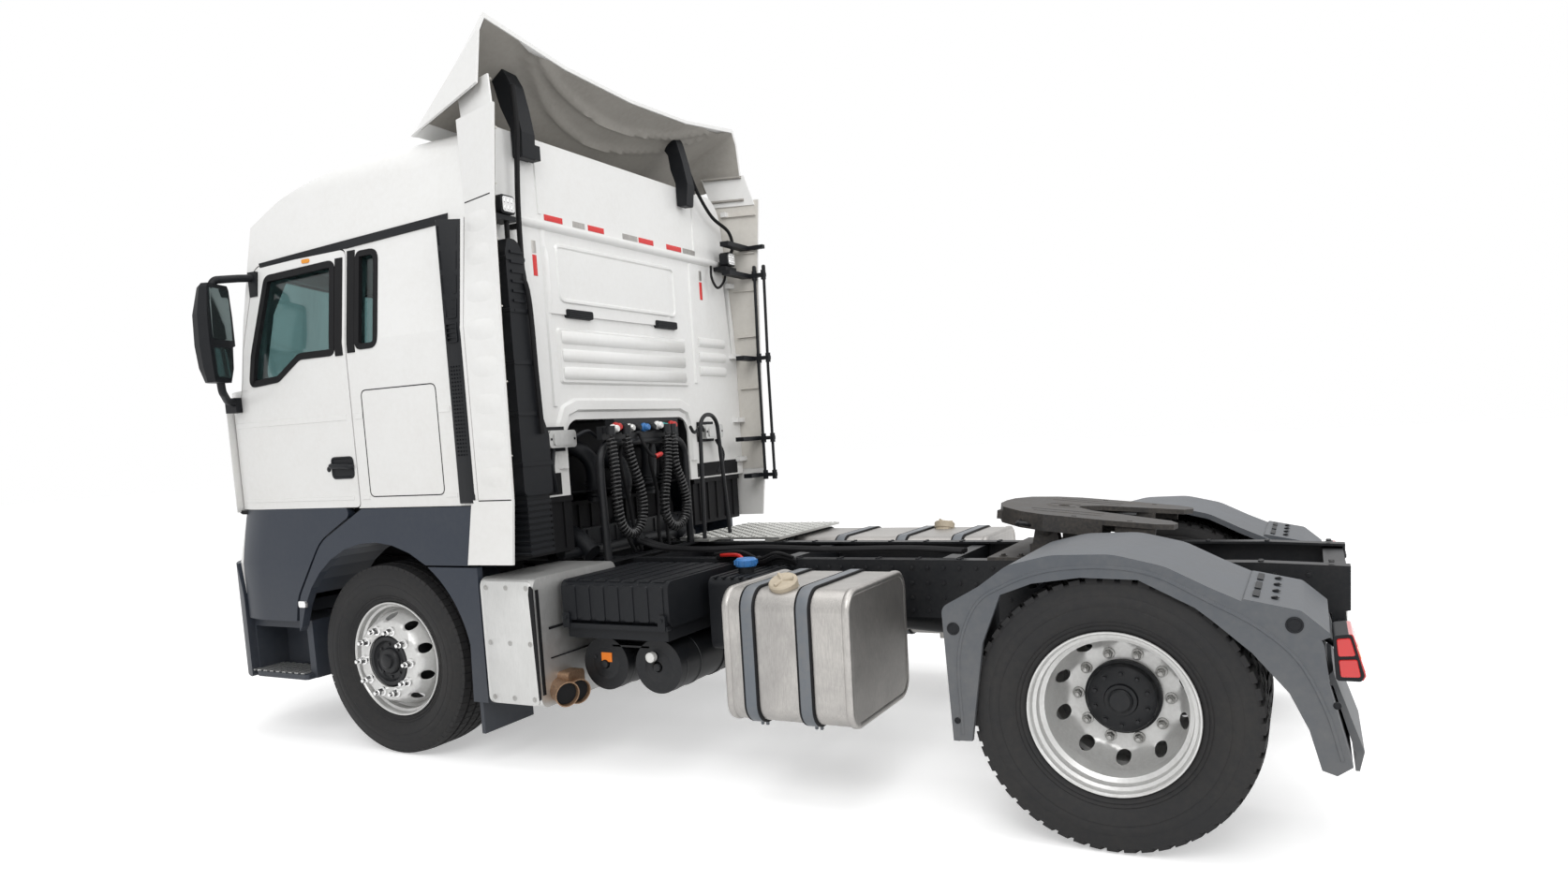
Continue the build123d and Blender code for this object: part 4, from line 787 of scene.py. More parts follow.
# ---------------------------------------------------------------- cab sides
def on_side(cast, side, u, v, lift, guess=1.22):
    """Point on the truck's side skin at a station and height, moved out by lift."""
    hit = cast((st(u), side * 1.6, v), (0, -side, 0))
    y = abs(hit.y) if hit and hit.y * side > 0.6 else guess
    return (st(u), side * (y + lift), v)


def side_band(shape, cast, side, inner, outer, low, high, guess=1.22, at=None):
    """Frame between two loops, lying on the side skin; at is the loop where the skin is measured."""
    rows = []
    for loop, w in ((inner, low), (inner, high), (outer, high), (outer, low), (inner, low)):
        depth = [abs(on_side(cast, side, u, v, w, guess)[1]) for u, v in at or loop]
        lean = SEAL_LEAN if at else 0.0
        rows.append([(st(u), side * (y - (lean * (v - a[1]) if v > BELT_Z else 0.0)), v)
                     for (u, v), y, a in zip(loop, depth, at or loop)])
    shape.rings(rows, caps=False)


def side_strip(shape, cast, side, path, half, low, high, guess=1.22, step=0.05):
    """Raised strip along a path of (station, z) on the side skin."""
    shape.rings([[on_side(cast, side, *q, w, guess)
                  for q, w in ((p - a, low), (p - a * 0.8, high), (p + a * 0.8, high), (p + a, low))]
                 for p, a in ((p, n * half) for p, n in walk(divided(path, step)))])


SEAL_LEAN = 0.2126        # tan 12 degrees: lean given to a window seal away from the loop where the skin is measured
BELT_Z = 1.95             # no lean below the belt line
DOOR = [(3.665, 1.305, 0.025), (4.690, 1.305, 0.010), (4.690, 1.875, 0.040), (4.535, 1.882, 0.030),
        (4.482, 1.990, 0.060), (4.366, 2.595, 0.060), (3.665, 2.600, 0.040)]
DOOR_WINDOW = [(3.752, 2.088, 0.030), (4.010, 2.088, 0.090), (4.190, 1.985, 0.090), (4.412, 1.970, 0.030),
               (4.272, 2.530, 0.040), (3.752, 2.548, 0.040)]
QUARTER_WINDOW = [(3.440, 2.100, 0.050), (3.580, 2.100, 0.030), (3.580, 2.570, 0.030), (3.440, 2.570, 0.050)]


def cab_side(name, side):
    shell = skin_of("cab_shell", "cab_roof", "cab_glass")
    door = skin_of(f"door_{name}", f"door_glass_{name}")
    # rubber round the windows
    frame = Shape()
    window = loop_of(DOOR_WINDOW, 0.04)
    side_band(frame, door, side, grown(window, -0.024), grown(window, 0.012), -0.018, 0.004, at=grown(window, 0.010))
    side_strip(frame, door, side, [(3.711, 2.072), (3.711, 2.562)], 0.032, -0.004, 0.004)
    frame.make(f"door_window_seal_{name}", "rubber", f"door_{name}")
    frame = Shape()
    window = loop_of(QUARTER_WINDOW, 0.04)
    side_band(frame, shell, side, grown(window, -0.020), grown(window, 0.010), -0.018, 0.004, at=grown(window, 0.010))
    # dark cover on the pillar between the windows
    side_strip(frame, shell, side, [(3.622, 2.080), (3.622, 2.588)], 0.032, -0.004, 0.004)
    frame.make(f"quarter_window_seal_{name}", "rubber", "cab")
    # seal inside the gap round the door
    seal = Shape()
    gap = loop_of(DOOR, 0.05)
    side_band(seal, door, side, grown(gap, -0.030), grown(gap, -0.014), -0.066, -0.058)
    seal.make(f"door_seal_{name}", "rubber", f"door_{name}")
    # sill and shut-line shadow strip on the cab just inside the gap
    seal = Shape()
    side_band(seal, shell, side, grown(gap, 0.012), grown(gap, 0.030), -0.070, -0.061)
    seal.make(f"door_frame_seal_and_shadow_{name}", "rubber", "cab")
    # handle
    grip = Shape()
    bowl = soft_box(3.682, 3.846, 1.452, 1.566, 0.03, 0.03)
    rows = [[on_side(door, side, u, v, w) for u, v in loop]
            for loop, w in ((bowl, -0.004), (bowl, 0.004), (grown(bowl, -0.008), 0.006), (grown(bowl, -0.014), 0.001))]
    grip.rings(rows)
    bar = [on_side(door, side, u, 1.512 + 0.002 * k, w) for k, (u, w) in
           enumerate(((3.684, 0.004), (3.696, 0.020), (3.730, 0.024), (3.790, 0.024), (3.828, 0.020), (3.838, 0.004)))]
    grip.tube(smooth_line(bar, 4), 0.013, 10)
    grip.dome(on_side(door, side, 3.868, 1.504, 0.0), (0, side, 0), 0.014, 0.005)
    grip.make(f"door_handle_{name}", "black", f"door_{name}")
    # creases pressed into door and cab side
    for label, cast, spans in ((f"door_{name}", door, ((3.70, 4.64),)),
                               ("cab", shell, ((3.585, 3.640), (2.99, 3.065)))):
        crease = Shape()
        for a, b in spans:
            for z, half in ((1.763, 0.016), (1.352, 0.010)):
                side_strip(crease, cast, side, [(a, z), (b, z)], half, -0.003, 0.003)
        crease.make(f"crease_{label}_{name}", "white", label)
    # locker hatch: dark shut line
    hatch = Shape()
    outline = soft_box(3.076, 3.578, 1.359, 1.887, 0.03, 0.05)
    side_band(hatch, shell, side, outline, grown(outline, 0.005), -0.002, 0.001)
    hatch.make(f"locker_shut_line_{name}", "rubber", "cab")
    # black strip along the eaves
    strip = Shape()
    side_strip(strip, skin_of("cab_shell", "cab_roof"), side, [(4.320, 2.591), (3.90, 2.612), (2.965, 2.656)], 0.024,
               -0.004, 0.008, 1.15)
    strip.make(f"eave_strip_{name}", "black", "cab")
    marker = Shape()
    marker.prism(soft_box(3.930, 3.985, 2.568, 2.588, 0.008),
                 abs(on_side(door, side, 3.95, 2.578, -0.004)[1]), abs(on_side(door, side, 3.95, 2.578, 0.006)[1]),
                 side_frame(side))
    marker.make(f"door_marker_{name}", "yellow", f"door_{name}")
    # seam of the side extension
    seam = Shape()
    side_strip(seam, shell, side, [(2.972, 1.32), (2.972, 2.60)], 0.0025, -0.002, 0.0006)
    seam.make(f"extension_seam_{name}", "rubber", "cab")
    lamp = Shape()
    x, z = 4.172, 0.790
    y = abs(on_side(skin_of("cab_fenders"), side, x, z, 0.0)[1])
    lamp.prism(rounded(x - 0.030, x + 0.030, z - 0.020, z + 0.020, 0.012), y - 0.004, y + 0.009, side_frame(side),
               0.003)
    lamp.make(f"side_marker_{name}", "chrome", "cab")
    # mirror glasses on the rear face of the head
    glass = Shape()
    turn = math.radians(side * 20)
    for z0, z1, inner_y, outer_y, low_in, low_out in ((2.205, 2.468, -0.082, 0.066, -0.084, 0.072),
                                                      (2.010, 2.165, -0.062, 0.074, -0.048, 0.064)):
        loop = [(low_in, z0), (low_out, z0), (outer_y, z1), (inner_y, z1)]
        loop = loop_of([(a, b, 0.018) for a, b in loop], 0.05)
        front = []
        for w in (-0.0215, -0.0245, -0.0235):
            row = []
            for a, b in (grown(loop, -0.006) if w == -0.0235 else loop):
                x, y = w, side * a
                row.append((st(4.405) + math.cos(turn) * x - math.sin(turn) * y,
                            side * 1.385 + math.sin(turn) * x + math.cos(turn) * y, b))
            front.append(row)
        glass.rings(front)
    glass.make(f"mirror_glass_{name}", "mirror", f"door_{name}")
    # tread strips on the two steps
    tread = Shape()
    for k in range(9):
        x = 4.27 + 0.052 * k
        tread.box((x, x + 0.030), (side * 1.00, side * 1.19), (0.390 - 0.002, 0.390 + 0.006))
    for k in range(6):
        x = 4.28 + 0.07 * k
        tread.box((x, x + 0.04), (side * 0.965, side * 1.14), (0.640, 0.647))
    tread.make(f"step_tread_{name}", "box_sheet", "chassis")


for name, side in SIDES:
    cab_side(name, side)


# sections of the fin's inner face: height, then station and y of its front edge, then of its rear edge
FIN_ROWS = [(1.330, 2.845, 1.222, 2.632, 1.230), (2.133, 2.845, 1.222, 2.616, 1.232),
            (2.650, 2.840, 1.158, 2.600, 1.232), (3.080, 2.872, 1.130, 2.562, 1.224)]


def side_extension(name, side):
    """Black vent strip, the soft ribs of the white fin behind it, and the fin's inner face, coloured beige-grey as
    painted shade.
    """
    lining = Shape()
    grid = []
    for low, high in zip(FIN_ROWS, FIN_ROWS[1:]):
        for k in range(6):
            t = k / 6
            grid.append([a + (b - a) * t for a, b in zip(low, high)])
    grid.append(list(FIN_ROWS[-1]))
    rows = []
    for z, x0, y0, x1, y1 in grid:
        rows.append([(st(x1 + (x0 - 0.01 - x1) * k / 4), side * (y1 + (y0 - y1) * k / 4 - 0.0025), z)
                     for k in range(5)])
    lining.rings(rows, closed=False)
    for z in (1.52, 1.86, 2.20, 2.50, 2.74, 2.98):
        row = min(grid, key=lambda g: abs(g[0] - z))
        ledge = []
        for k in range(4):
            x = row[3] + 0.012 + (row[1] - row[3] - 0.09) * k / 3
            y = row[4] + (row[2] - row[4]) * (x - row[3]) / (row[1] - row[3]) - 0.004
            ledge.append([(st(x), side * (y - d), z + h)
                          for d, h in ((0, 0), (0.020, 0.003), (0.020, 0.009), (0, 0.012))])
        lining.rings(ledge)
    lining.make(f"fin_inner_{name}", "inner", "cab", sharp=50)
    cast = skin_of("side_fins")
    strip = Shape()
    side_strip(strip, cast, side, [(2.922, 1.312), (2.922, 2.634)], 0.054, -0.003, 0.005, 1.228)
    for k in range(5):
        z = 2.560 - 0.112 * k
        rim = soft_box(2.886, 2.958, z - 0.046, z + 0.046, 0.01, 0.04)
        side_band(strip, cast, side, grown(rim, -0.007), rim, 0.003, 0.010, 1.228)
        for i in range(1, 4):
            side_strip(strip, cast, side, [(2.890, z - 0.046 + 0.023 * i), (2.954, z - 0.046 + 0.023 * i)], 0.003,
                       0.003, 0.008, 1.228)
    for k in range(24):
        z = 1.955 - 0.018 * k
        for i in range(4):
            side_strip(strip, cast, side, [(2.893 + 0.017 * i, z), (2.902 + 0.017 * i, z)], 0.004, 0.003, 0.007, 1.228)
    strip.make(f"vent_strip_{name}", "black", "cab")
    ribs = Shape()
    for z in (1.43, 1.60, 1.77, 1.94, 2.11, 2.28, 2.45, 2.60):
        rows = []
        for k in range(7):
            x = 2.650 + 0.188 * k / 6
            lift = 0.010 * math.sin(math.pi * (0.1 + 0.9 * k / 6))
            rows.append([on_side(cast, side, x, z + dz, w - 0.002, 1.236) for dz, w in
                         ((-0.055, 0.0), (-0.030, lift * 0.6), (0.0, lift), (0.030, lift * 0.6), (0.055, 0.0))])
        ribs.rings(rows)
    ribs.make(f"fin_ribs_{name}", "white", "cab")
    joint = Shape()
    side_strip(joint, cast, side, [(2.620, 2.700), (2.835, 2.700)], 0.003, -0.001, 0.001, 1.236)
    side_strip(joint, cast, side, [(2.640, 1.322), (2.840, 1.322)], 0.003, -0.001, 0.001, 1.236)
    joint.make(f"fin_joint_{name}", "rubber", "cab")


for name, side in SIDES:
    side_extension(name, side)


# ---------------------------------------------------------------- front of the cab
def front_frame(cast):
    """Maps (y, z, lift) onto the front skin."""
    def place(u, v, w):
        hit = cast((st(5.6), u, v), (-1, 0, 0))
        return ((hit.x if hit else st(5.0)) + w, u, v)
    return place


def draped(shape, frame, loop, low, high, taper=0.004):
    """Low plate lying on a skin."""
    shape.layers(frame, ((loop, low), (loop, high), (grown(loop, -taper), high + 0.001)))


def front_bar(shape, skin, y0, y1, z0, z1, low, high, lean=0.0, step=0.05):
    """Bar across the front between two heights, following the skin; lean widens its top end."""
    count = max(2, math.ceil((y1 - y0) / step))
    rows = []
    for k in range(count + 1):
        y = y0 + (y1 - y0) * k / count
        top = y * (1 + lean)
        end = 0.35 if k in (0, count) else 1.0
        rows.append([skin(y, z0, low), skin(y, z0 + 0.002, high * end), skin(top, z1 - 0.002, high * end),
                     skin(top, z1, low)])
    shape.rings(rows)


def cab_front():
    skin = front_frame(skin_of("cab_shell", "front_grille", "cab_roof", "cab_glass"))
    seal = Shape()
    screen = loop_of([(-1.010, 2.010, 0.06), (1.010, 2.010, 0.06), (0.940, 2.580, 0.08), (-0.940, 2.580, 0.08)], 0.08)
    seal.layers(skin, [(grown(screen, d), w) for d, w in
                       ((-0.010, -0.012), (-0.010, 0.004), (0.022, 0.004), (0.022, -0.012), (-0.010, -0.012))], False)
    seal.make("windscreen_seal", "rubber", "cab")
    # broad black grille with bars
    grille = Shape()
    for z0, z1, half, count in ((1.345, 1.475, 0.86, 4), (1.500, 1.630, 0.88, 4), (1.045, 1.120, 0.78, 2),
                                (1.140, 1.215, 0.80, 2)):
        front_bar(grille, skin, -half, half, z0, z1, -0.004, 0.004, 0.02)
        for k in range(count):
            z = z0 + (z1 - z0) * (k + 0.5) / count
            front_bar(grille, skin, -half + 0.02, half - 0.02, z - 0.006, z + 0.006, 0.002, 0.014)
        for k in range(9):
            y = -0.72 + 0.18 * k
            front_bar(grille, skin, y - 0.004, y + 0.004, z0 + 0.006, z1 - 0.006, 0.002, 0.009)
    grille.make("front_grille_bars", "black", "cab")
    corner = Shape()
    for side in (-1, 1):
        cast = skin_of("front_grille", "cab_shell")
        for k in range(5):
            z = 1.39 + 0.086 * k
            loop = soft_box(4.830, 4.915, z, z + 0.060, 0.01, 0.02)
            side_band(corner, cast, side, grown(loop, -0.026), loop, -0.004, 0.004, 1.10)
    corner.make("corner_grilles", "black", "cab")
    trim = Shape()
    front_bar(trim, skin, -0.82, 0.82, 1.652, 1.668, -0.002, 0.007)
    trim.make("front_trim", "chrome", "cab")
    # wipers
    wiper = Shape()
    for y0, y1 in ((0.62, -0.02), (0.02, -0.62), (-0.30, -0.90)):
        base = skin(y0, 1.965, 0.012)
        elbow = skin((y0 + y1) / 2, 2.030, 0.024)
        tip = skin(y1, 2.060, 0.018)
        wiper.tube(smooth_line([base, elbow, tip], 6), 0.006, 8)
        blade = [skin(y1 + 0.30 - 0.06 * k, 2.052 + 0.0025 * k, 0.012) for k in range(11)]
        wiper.tube(blade, 0.007, 8)
        wiper.dome(skin(y0, 1.962, 0.0), (1, 0, 0.2), 0.022, 0.022, 16)
    wiper.make("wipers", "black", "cab")
    # bumper face
    skin = front_frame(skin_of("front_bumper", "lamps"))
    mouth = Shape()
    for z0, z1, half in ((0.420, 0.520, 0.52), (0.545, 0.640, 0.48)):
        front_bar(mouth, skin, -half, half, z0, z1, -0.004, 0.001)
        for k in range(3):
            z = z0 + 0.022 + 0.028 * k
            front_bar(mouth, skin, -half + 0.02, half - 0.02, z - 0.005, z + 0.005, 0.0, 0.004)
    front_bar(mouth, skin, -0.56, 0.56, 0.672, 0.680, -0.003, 0.002)
    mouth.make("bumper_grille", "black", "chassis")
    plate = Shape()
    draped(plate, skin, soft_box(-0.26, 0.26, 0.745, 0.855, 0.01, 0.08), -0.001, 0.001)
    plate.make("blank_number_plate", "white", "chassis")
    bezel = Shape()
    lens = Shape()
    glow = Shape()
    for side in (-1, 1):
        y0, y1 = span(side, 0.606, 0.972)
        front_bar(bezel, skin, y0, y1, 0.693, 0.887, -0.006, 0.001, step=0.03)
        front_bar(bezel, skin, y0 + 0.004, y1 - 0.004, 0.880, 0.888, 0.0, 0.004, step=0.03)
        front_bar(bezel, skin, y0 + 0.004, y1 - 0.004, 0.692, 0.700, 0.0, 0.004, step=0.03)
        for y, r in ((0.700, 0.048), (0.810, 0.048), (0.905, 0.034)):
            spot = Vector(skin(side * y, 0.79, 0.002 if y < 0.75 else 0.007))
            across = Vector(skin(side * (y + r), 0.79, 0.001)) - Vector(skin(side * (y - r), 0.79, 0.001))
            out = Vector((side * across.y, -side * across.x, 0))
            glow.cap([(0, -0.004), (r, -0.004), (r, 0.006), (r * 0.9, 0.005), (r * 0.55, 0.002), (0, 0.0015)], spot,
                     out, 28)
            lens.cap([(0, 0.006), (r * 0.5, 0.0055), (r * 0.55, 0.002), (0, 0.002)], spot, out, 24)
    bezel.make("headlamp_bezels", "black", "chassis")
    glow.make("headlamp_reflectors", "chrome", "chassis")
    lens.make("headlamp_lenses", "mirror", "chassis")


cab_front()


# ---------------------------------------------------------------- back of the cab
def back_frame(cast):
    """Maps (y, z, lift) onto the skin facing backwards."""
    def place(u, v, w):
        hit = cast((st(2.2), u, v), (1, 0, 0))
        return ((hit.x if hit else st(2.795)) - w, u, v)
    return place


def back_line(shape, skin, path, half, low, high, step=0.06):
    """Raised strip along a path of (y, z) on the rear wall."""
    shape.rings([[skin(*q, w) for q, w in ((p - a, low), (p - a * 0.6, high), (p + a * 0.6, high), (p + a, low))]
                 for p, a in ((p, n * half) for p, n in walk(divided(path, step)))])


def cab_back():
    skin = back_frame(skin_of("cab_rear_wall", "cab_roof", "cab_shell"))
    wall = Shape()
    plate = soft_box(-0.600, 0.640, 1.872, 2.165, 0.03, 0.1)
    wall.layers(rear_frame, ((plate, 2.796), (grown(plate, -0.012), 2.7815), (grown(plate, -0.014), 2.7815)))
    for z in (1.930, 2.020, 2.112):
        rows = [[(st(2.784 - w), y, z + dz) for dz, w in ((-0.036, 0), (-0.022, 0.014), (0.022, 0.014), (0.036, 0))]
                for y in (-0.555, -0.545, 0.605, 0.615)]
        rows[0] = [(x + 0.008, y, z2) for x, y, z2 in rows[0]]
        rows[-1] = [(x + 0.008, y, z2) for x, y, z2 in rows[-1]]
        wall.rings(rows)
        back_line(wall, skin, [(-1.06, z + 0.045), (-0.74, z + 0.045)], 0.034, -0.004, 0.012)
    frame_loop = soft_box(-0.500, 0.600, 2.300, 2.580, 0.04, 0.08)
    wall.layers(skin, [(grown(frame_loop, d), w) for d, w in
                       ((0.014, -0.002), (0.006, 0.008), (-0.006, 0.008), (-0.014, -0.002), (0.014, -0.002))], False)
    for y, z0 in ((-0.690, 1.90), (0.690, 1.76)):
        back_line(wall, skin, [(y, z0), (y, 2.64)], 0.020, -0.003, 0.010)
    arch = [(-0.605, 1.42), (-0.600, 1.66), (-0.560, 1.735), (-0.470, 1.765), (0.530, 1.765), (0.620, 1.735),
            (0.660, 1.66), (0.662, 1.44)]
    back_line(wall, skin, arch, 0.040, -0.004, 0.016)
    wall.make("rear_wall_pressings", "white", "cab", sharp=50)
    ledge = Shape()
    rows = []
    for k in range(15):
        y = -1.02 + 2.04 * k / 14
        x = skin(y, 2.640, 0.0)[0]
        rows.append([(x + 0.004, y, 2.640), (x - 0.018, y, 2.652), (x - 0.024, y, 2.672), (x - 0.018, y, 2.684),
                     (x + 0.008, y, 2.690)])
    ledge.rings(rows)
    for y in (-0.76, 0.70):
        back_line(ledge, skin, [(y, 2.72), (y * 1.01, 3.03)], 0.014, -0.003, 0.007)
    ledge.make("rear_wall_ledge", "white", "cab", sharp=50)
    red = Shape()
    silver = Shape()

    def tape(shape, y0, y1, z0=2.694, z1=2.724):
        draped(shape, skin, [(y0, z0), (y1, z0), (y1, z1), (y0, z1)], -0.001, 0.0015, 0.002)
    for y0, y1 in ((0.520, 0.663), (0.168, 0.307), (-0.310, -0.162), (-0.612, -0.450)):
        tape(red, y0, y1)
    for y0, y1 in ((0.336, 0.436), (-0.148, -0.006), (-0.769, -0.631)):
        tape(silver, y0, y1)
    for y, z0, z1 in ((0.760, 2.408, 2.511), (-0.816, 2.425, 2.535)):
        tape(red, y - 0.015, y + 0.015, z0, z1)
        tape(silver, y - 0.015, y + 0.015, z1 + 0.01, z1 + 0.07)
    red.make("rear_reflectors_red", "reflector", "cab")
    silver.make("rear_reflectors_silver", "tank", "cab")
    vents = Shape()
    for y0, y1 in ((0.340, 0.562), (-0.485, -0.257)):
        vents.prism(rounded(y0, y1, 2.214, 2.262, 0.014), 2.796, 2.774, rear_frame, 0.003)
        for k in range(3):
            z = 2.222 + 0.0125 * k
            vents.box((2.770, 2.776), (y0 + 0.012, y1 - 0.012), (z, z + 0.006))
    vents.make("rear_wall_vents", "black", "cab")
    # dark lining of the arched recess, black partly for the dark engine tunnel cover and partly as painted shade inside
    # the recess, with the hoses that pass through it
    lining = Shape()
    x0, x1 = st(2.802), st(2.950)
    arch = [(-0.552, 1.306), (-0.552, 1.60), (-0.520, 1.666), (-0.460, 1.682), (0.520, 1.682), (0.585, 1.666),
            (0.612, 1.60), (0.612, 1.306)]
    lining.rings([[(x0, y, z) for y, z in arch], [(x1, y, z) for y, z in arch],
                  [(x1 - 0.006, y * 0.985, z - 0.006) for y, z in arch], [(x0, y * 0.985, z - 0.006) for y, z in arch]],
                 caps=False)
    lining.add([(x1, y, z) for y, z in arch], [tuple(range(8))])
    lining.make("recess_lining_painted_shade", "rubber", "cab")
    pipes = Shape()
    for y, r, z in ((0.42, 0.045, 1.55), (0.10, 0.055, 1.48), (-0.25, 0.045, 1.57), (-0.44, 0.030, 1.50)):
        pipes.hose([(2.94, y, z), (2.88, y * 0.9, z - 0.04), (2.855, y * 0.8, z - 0.13), (2.875, y * 0.75, 1.25)],
                   r, 14)
        for k in range(5):
            pipes.revolve([(r + 0.004, -0.004), (r + 0.008, 0), (r + 0.004, 0.004), (r - 0.004, 0)],
                          (st(2.872), y * 0.75, 1.27 + 0.02 * k), (0, 0, 1), 16)
    pipes.make("recess_hoses", "black", "cab")
    # work lamps and their brackets
    lamp = Shape()
    lens = Shape()
    for side in (-1, 1):
        y = side * 1.045
        lamp.prism(rounded(y - 0.048, y + 0.048, 2.650, 2.735, 0.015), 2.690, 2.745, rear_frame)
        lamp.tube([(st(2.745), y, 2.66), (st(2.790), y - side * 0.02, 2.63)], 0.016, 8)
        lamp.box((2.700, 2.792), span(side, 0.985, 1.125), (2.622, 2.646))
        for k in range(5):
            lamp.box((2.742, 2.756), (y - 0.040 + 0.018 * k, y - 0.034 + 0.018 * k), (2.656, 2.728))
        lens.prism(rounded(y - 0.040, y + 0.040, 2.658, 2.727, 0.012), 2.684, 2.6915, rear_frame)
        for i in range(3):
            for j in range(2):
                lens.dome((st(2.6845), y - 0.024 + 0.024 * i, 2.676 + 0.032 * j), (-1, 0, 0), 0.010, 0.004, 12)
    lamp.make("work_lamps", "black", "cab")
    lens.make("work_lamp_lenses", "chrome", "cab")
    # cables down the back of the cab, with clips
    cable = Shape()
    left = [(2.735, 0.890, 3.28), (2.722, 0.900, 3.10), (2.735, 0.903, 2.922), (2.740, 0.918, 2.66),
            (2.740, 0.924, 2.20), (2.740, 0.923, 1.937), (2.740, 0.875, 1.72), (2.738, 0.868, 1.50),
            (2.735, 0.885, 1.22)]
    right = [(2.748, -0.676, 3.20), (2.740, -0.769, 3.062), (2.740, -0.921, 2.946), (2.730, -1.100, 2.880),
             (2.722, -1.130, 2.78), (2.730, -1.060, 2.70)]
    short = [(2.72, 1.03, 2.64), (2.72, 1.02, 2.45), (2.652, 1.00, 2.30), (2.650, 0.985, 1.90), (2.650, 0.975, 1.62)]
    for path, r in ((left, 0.013), (right, 0.011), (short, 0.012)):
        cable.hose(path, r, 8, 8)
    for z in (2.62, 2.32, 2.02, 1.80):
        cable.box((2.740, 2.796), (0.912, 0.932), (z - 0.012, z + 0.012))
    droop = [(2.725, -1.04, 2.65), (2.715, -0.98, 2.55), (2.72, -0.90, 2.50), (2.74, -0.87, 2.56), (2.76, -0.90, 2.64)]
    cable.hose(droop, 0.008, 8, 8)
    cable.make("rear_cables", "rubber", "cab")
    # long rods standing on the right fin
    rods = Shape()
    for x, y in ((2.545, -1.205), (2.612, -1.200)):
        rods.tube([(st(x), y, 1.30), (st(x + 0.004), y, 2.00), (st(x - 0.004), y, 2.63)], 0.010, 10)
        rods.dome((st(x - 0.004), y, 2.628), (0, 0, 1), 0.013, 0.03, 14)
    for z, inner in ((2.775, -0.93), (2.595, -0.93), (2.058, -1.05), (1.530, -0.98), (1.285, -1.06)):
        rods.box((2.640, 2.700), (-1.216 + 0.004 * (z < 2), inner), (z - 0.014, z + 0.014))
        rods.box((2.532, 2.650), (-1.222, -1.188), (z - 0.012, z + 0.012))
        for x in (2.545, 2.612):
            if z < 2.7:
                rods.tube([(st(x), -1.205, z - 0.03), (st(x), -1.205, z + 0.03)], 0.017, 12)
    rods.make("fin_rods", "black", "cab")
    # intake: ribs, joints and the bellows at its foot
    intake = Shape()
    for z in (2.44, 2.20, 1.96, 1.72, 1.48):
        y0 = 0.965 if z > 1.7 else 0.910
        y0 += 0.03 if z > 2.4 else 0
        intake.prism(rounded(y0 - 0.004, 1.122, z - 0.010, z + 0.010, 0.006), 2.660, 2.784, rear_frame)
    for k in range(9):
        z = 1.055 + 0.030 * k
        intake.prism(rounded(0.922, 1.098, z - 0.009, z + 0.009, 0.007), 2.672, 2.784, rear_frame)
    for k in range(7):
        z = 2.470 - 0.045 * k
        intake.box((2.658, 2.668), (1.005, 1.090), (z - 0.006, z + 0.006))
    intake.make("intake_ribs", "black", "cab")
    # black corners low in the rear wall, and the skirts under it
    dark = Shape()
    for corners in (((0.900, 1.31), (1.140, 1.31), (1.140, 1.735), (0.900, 1.735)),
                    ((0.690, 1.31), (0.898, 1.31), (0.898, 1.42), (0.690, 1.42)),
                    ((-1.140, 1.31), (-0.640, 1.31), (-0.640, 1.395), (-1.140, 1.400))):
        draped(dark, skin, list(corners), -0.001, 0.004, 0.003)
    for side in (-1, 1):
        y = span(side, 0.600, 1.165)
        dark.box((2.812, 2.850), y, (1.010, 1.299))
        for k in range(5):
            yy = side * (0.66 + 0.105 * k)
            dark.box((2.802, 2.816), sorted((yy, yy + side * 0.014)), (1.03, 1.28))
        dark.box((2.800, 2.880), y, (1.270, 1.299))
    dark.make("rear_skirts", "rubber", "cab")
    # locks that hold the cab down, beside the recess
    lock = Shape()
    pale = Shape()
    for side in (-1, 1):
        y0, y1 = span(side, 0.640, 0.850)
        pale.prism(rounded(y0, y1, 1.548, 1.636, 0.02), 2.715, 2.775, rear_frame, 0.0)
        pale.prism(rounded(y0 + 0.03, y1 - 0.03, 1.560, 1.624, 0.014), 2.708, 2.717, rear_frame)
        lock.box((2.775, 2.796), (y0 + 0.02, y1 - 0.02), (1.530, 1.655))
        lock.hose([(2.730, side * 0.635, 1.60), (2.700, side * 0.560, 1.625), (2.700, side * 0.480, 1.59),
                   (2.690, side * 0.42, 1.625)], 0.010)
        lock.hose([(2.74, side * 0.80, 1.54), (2.72, side * 0.84, 1.44), (2.74, side * 0.80, 1.33)], 0.012)
        for k in range(2):
            lock.bolt((st(2.774), side * (0.655 + 0.18 * k), 1.592), (-1, 0, 0), 0.008, 0.062)
    lock.make("cab_lock_brackets", "black", "cab")
    pale.make("cab_lock_housings", "box_sheet", "cab")
    # moulded underside of the roof deflector, coloured dark grey-beige as painted shade under the white deflector
    front = [(1.050, 3.096), (1.040, 3.098), (1.008, 3.102), (0.500, 3.106), (0.0, 3.108)]
    rear = [(1.200, 3.195), (1.160, 3.434), (1.122, 3.500), (0.560, 3.428), (0.0, 3.406)]
    inward = [(1.0, 0.0), (1.0, 0.2), (0.6, 0.8), (0.1, 1.0), (0.0, 1.0)]
    counts = (4, 3, 10, 10)

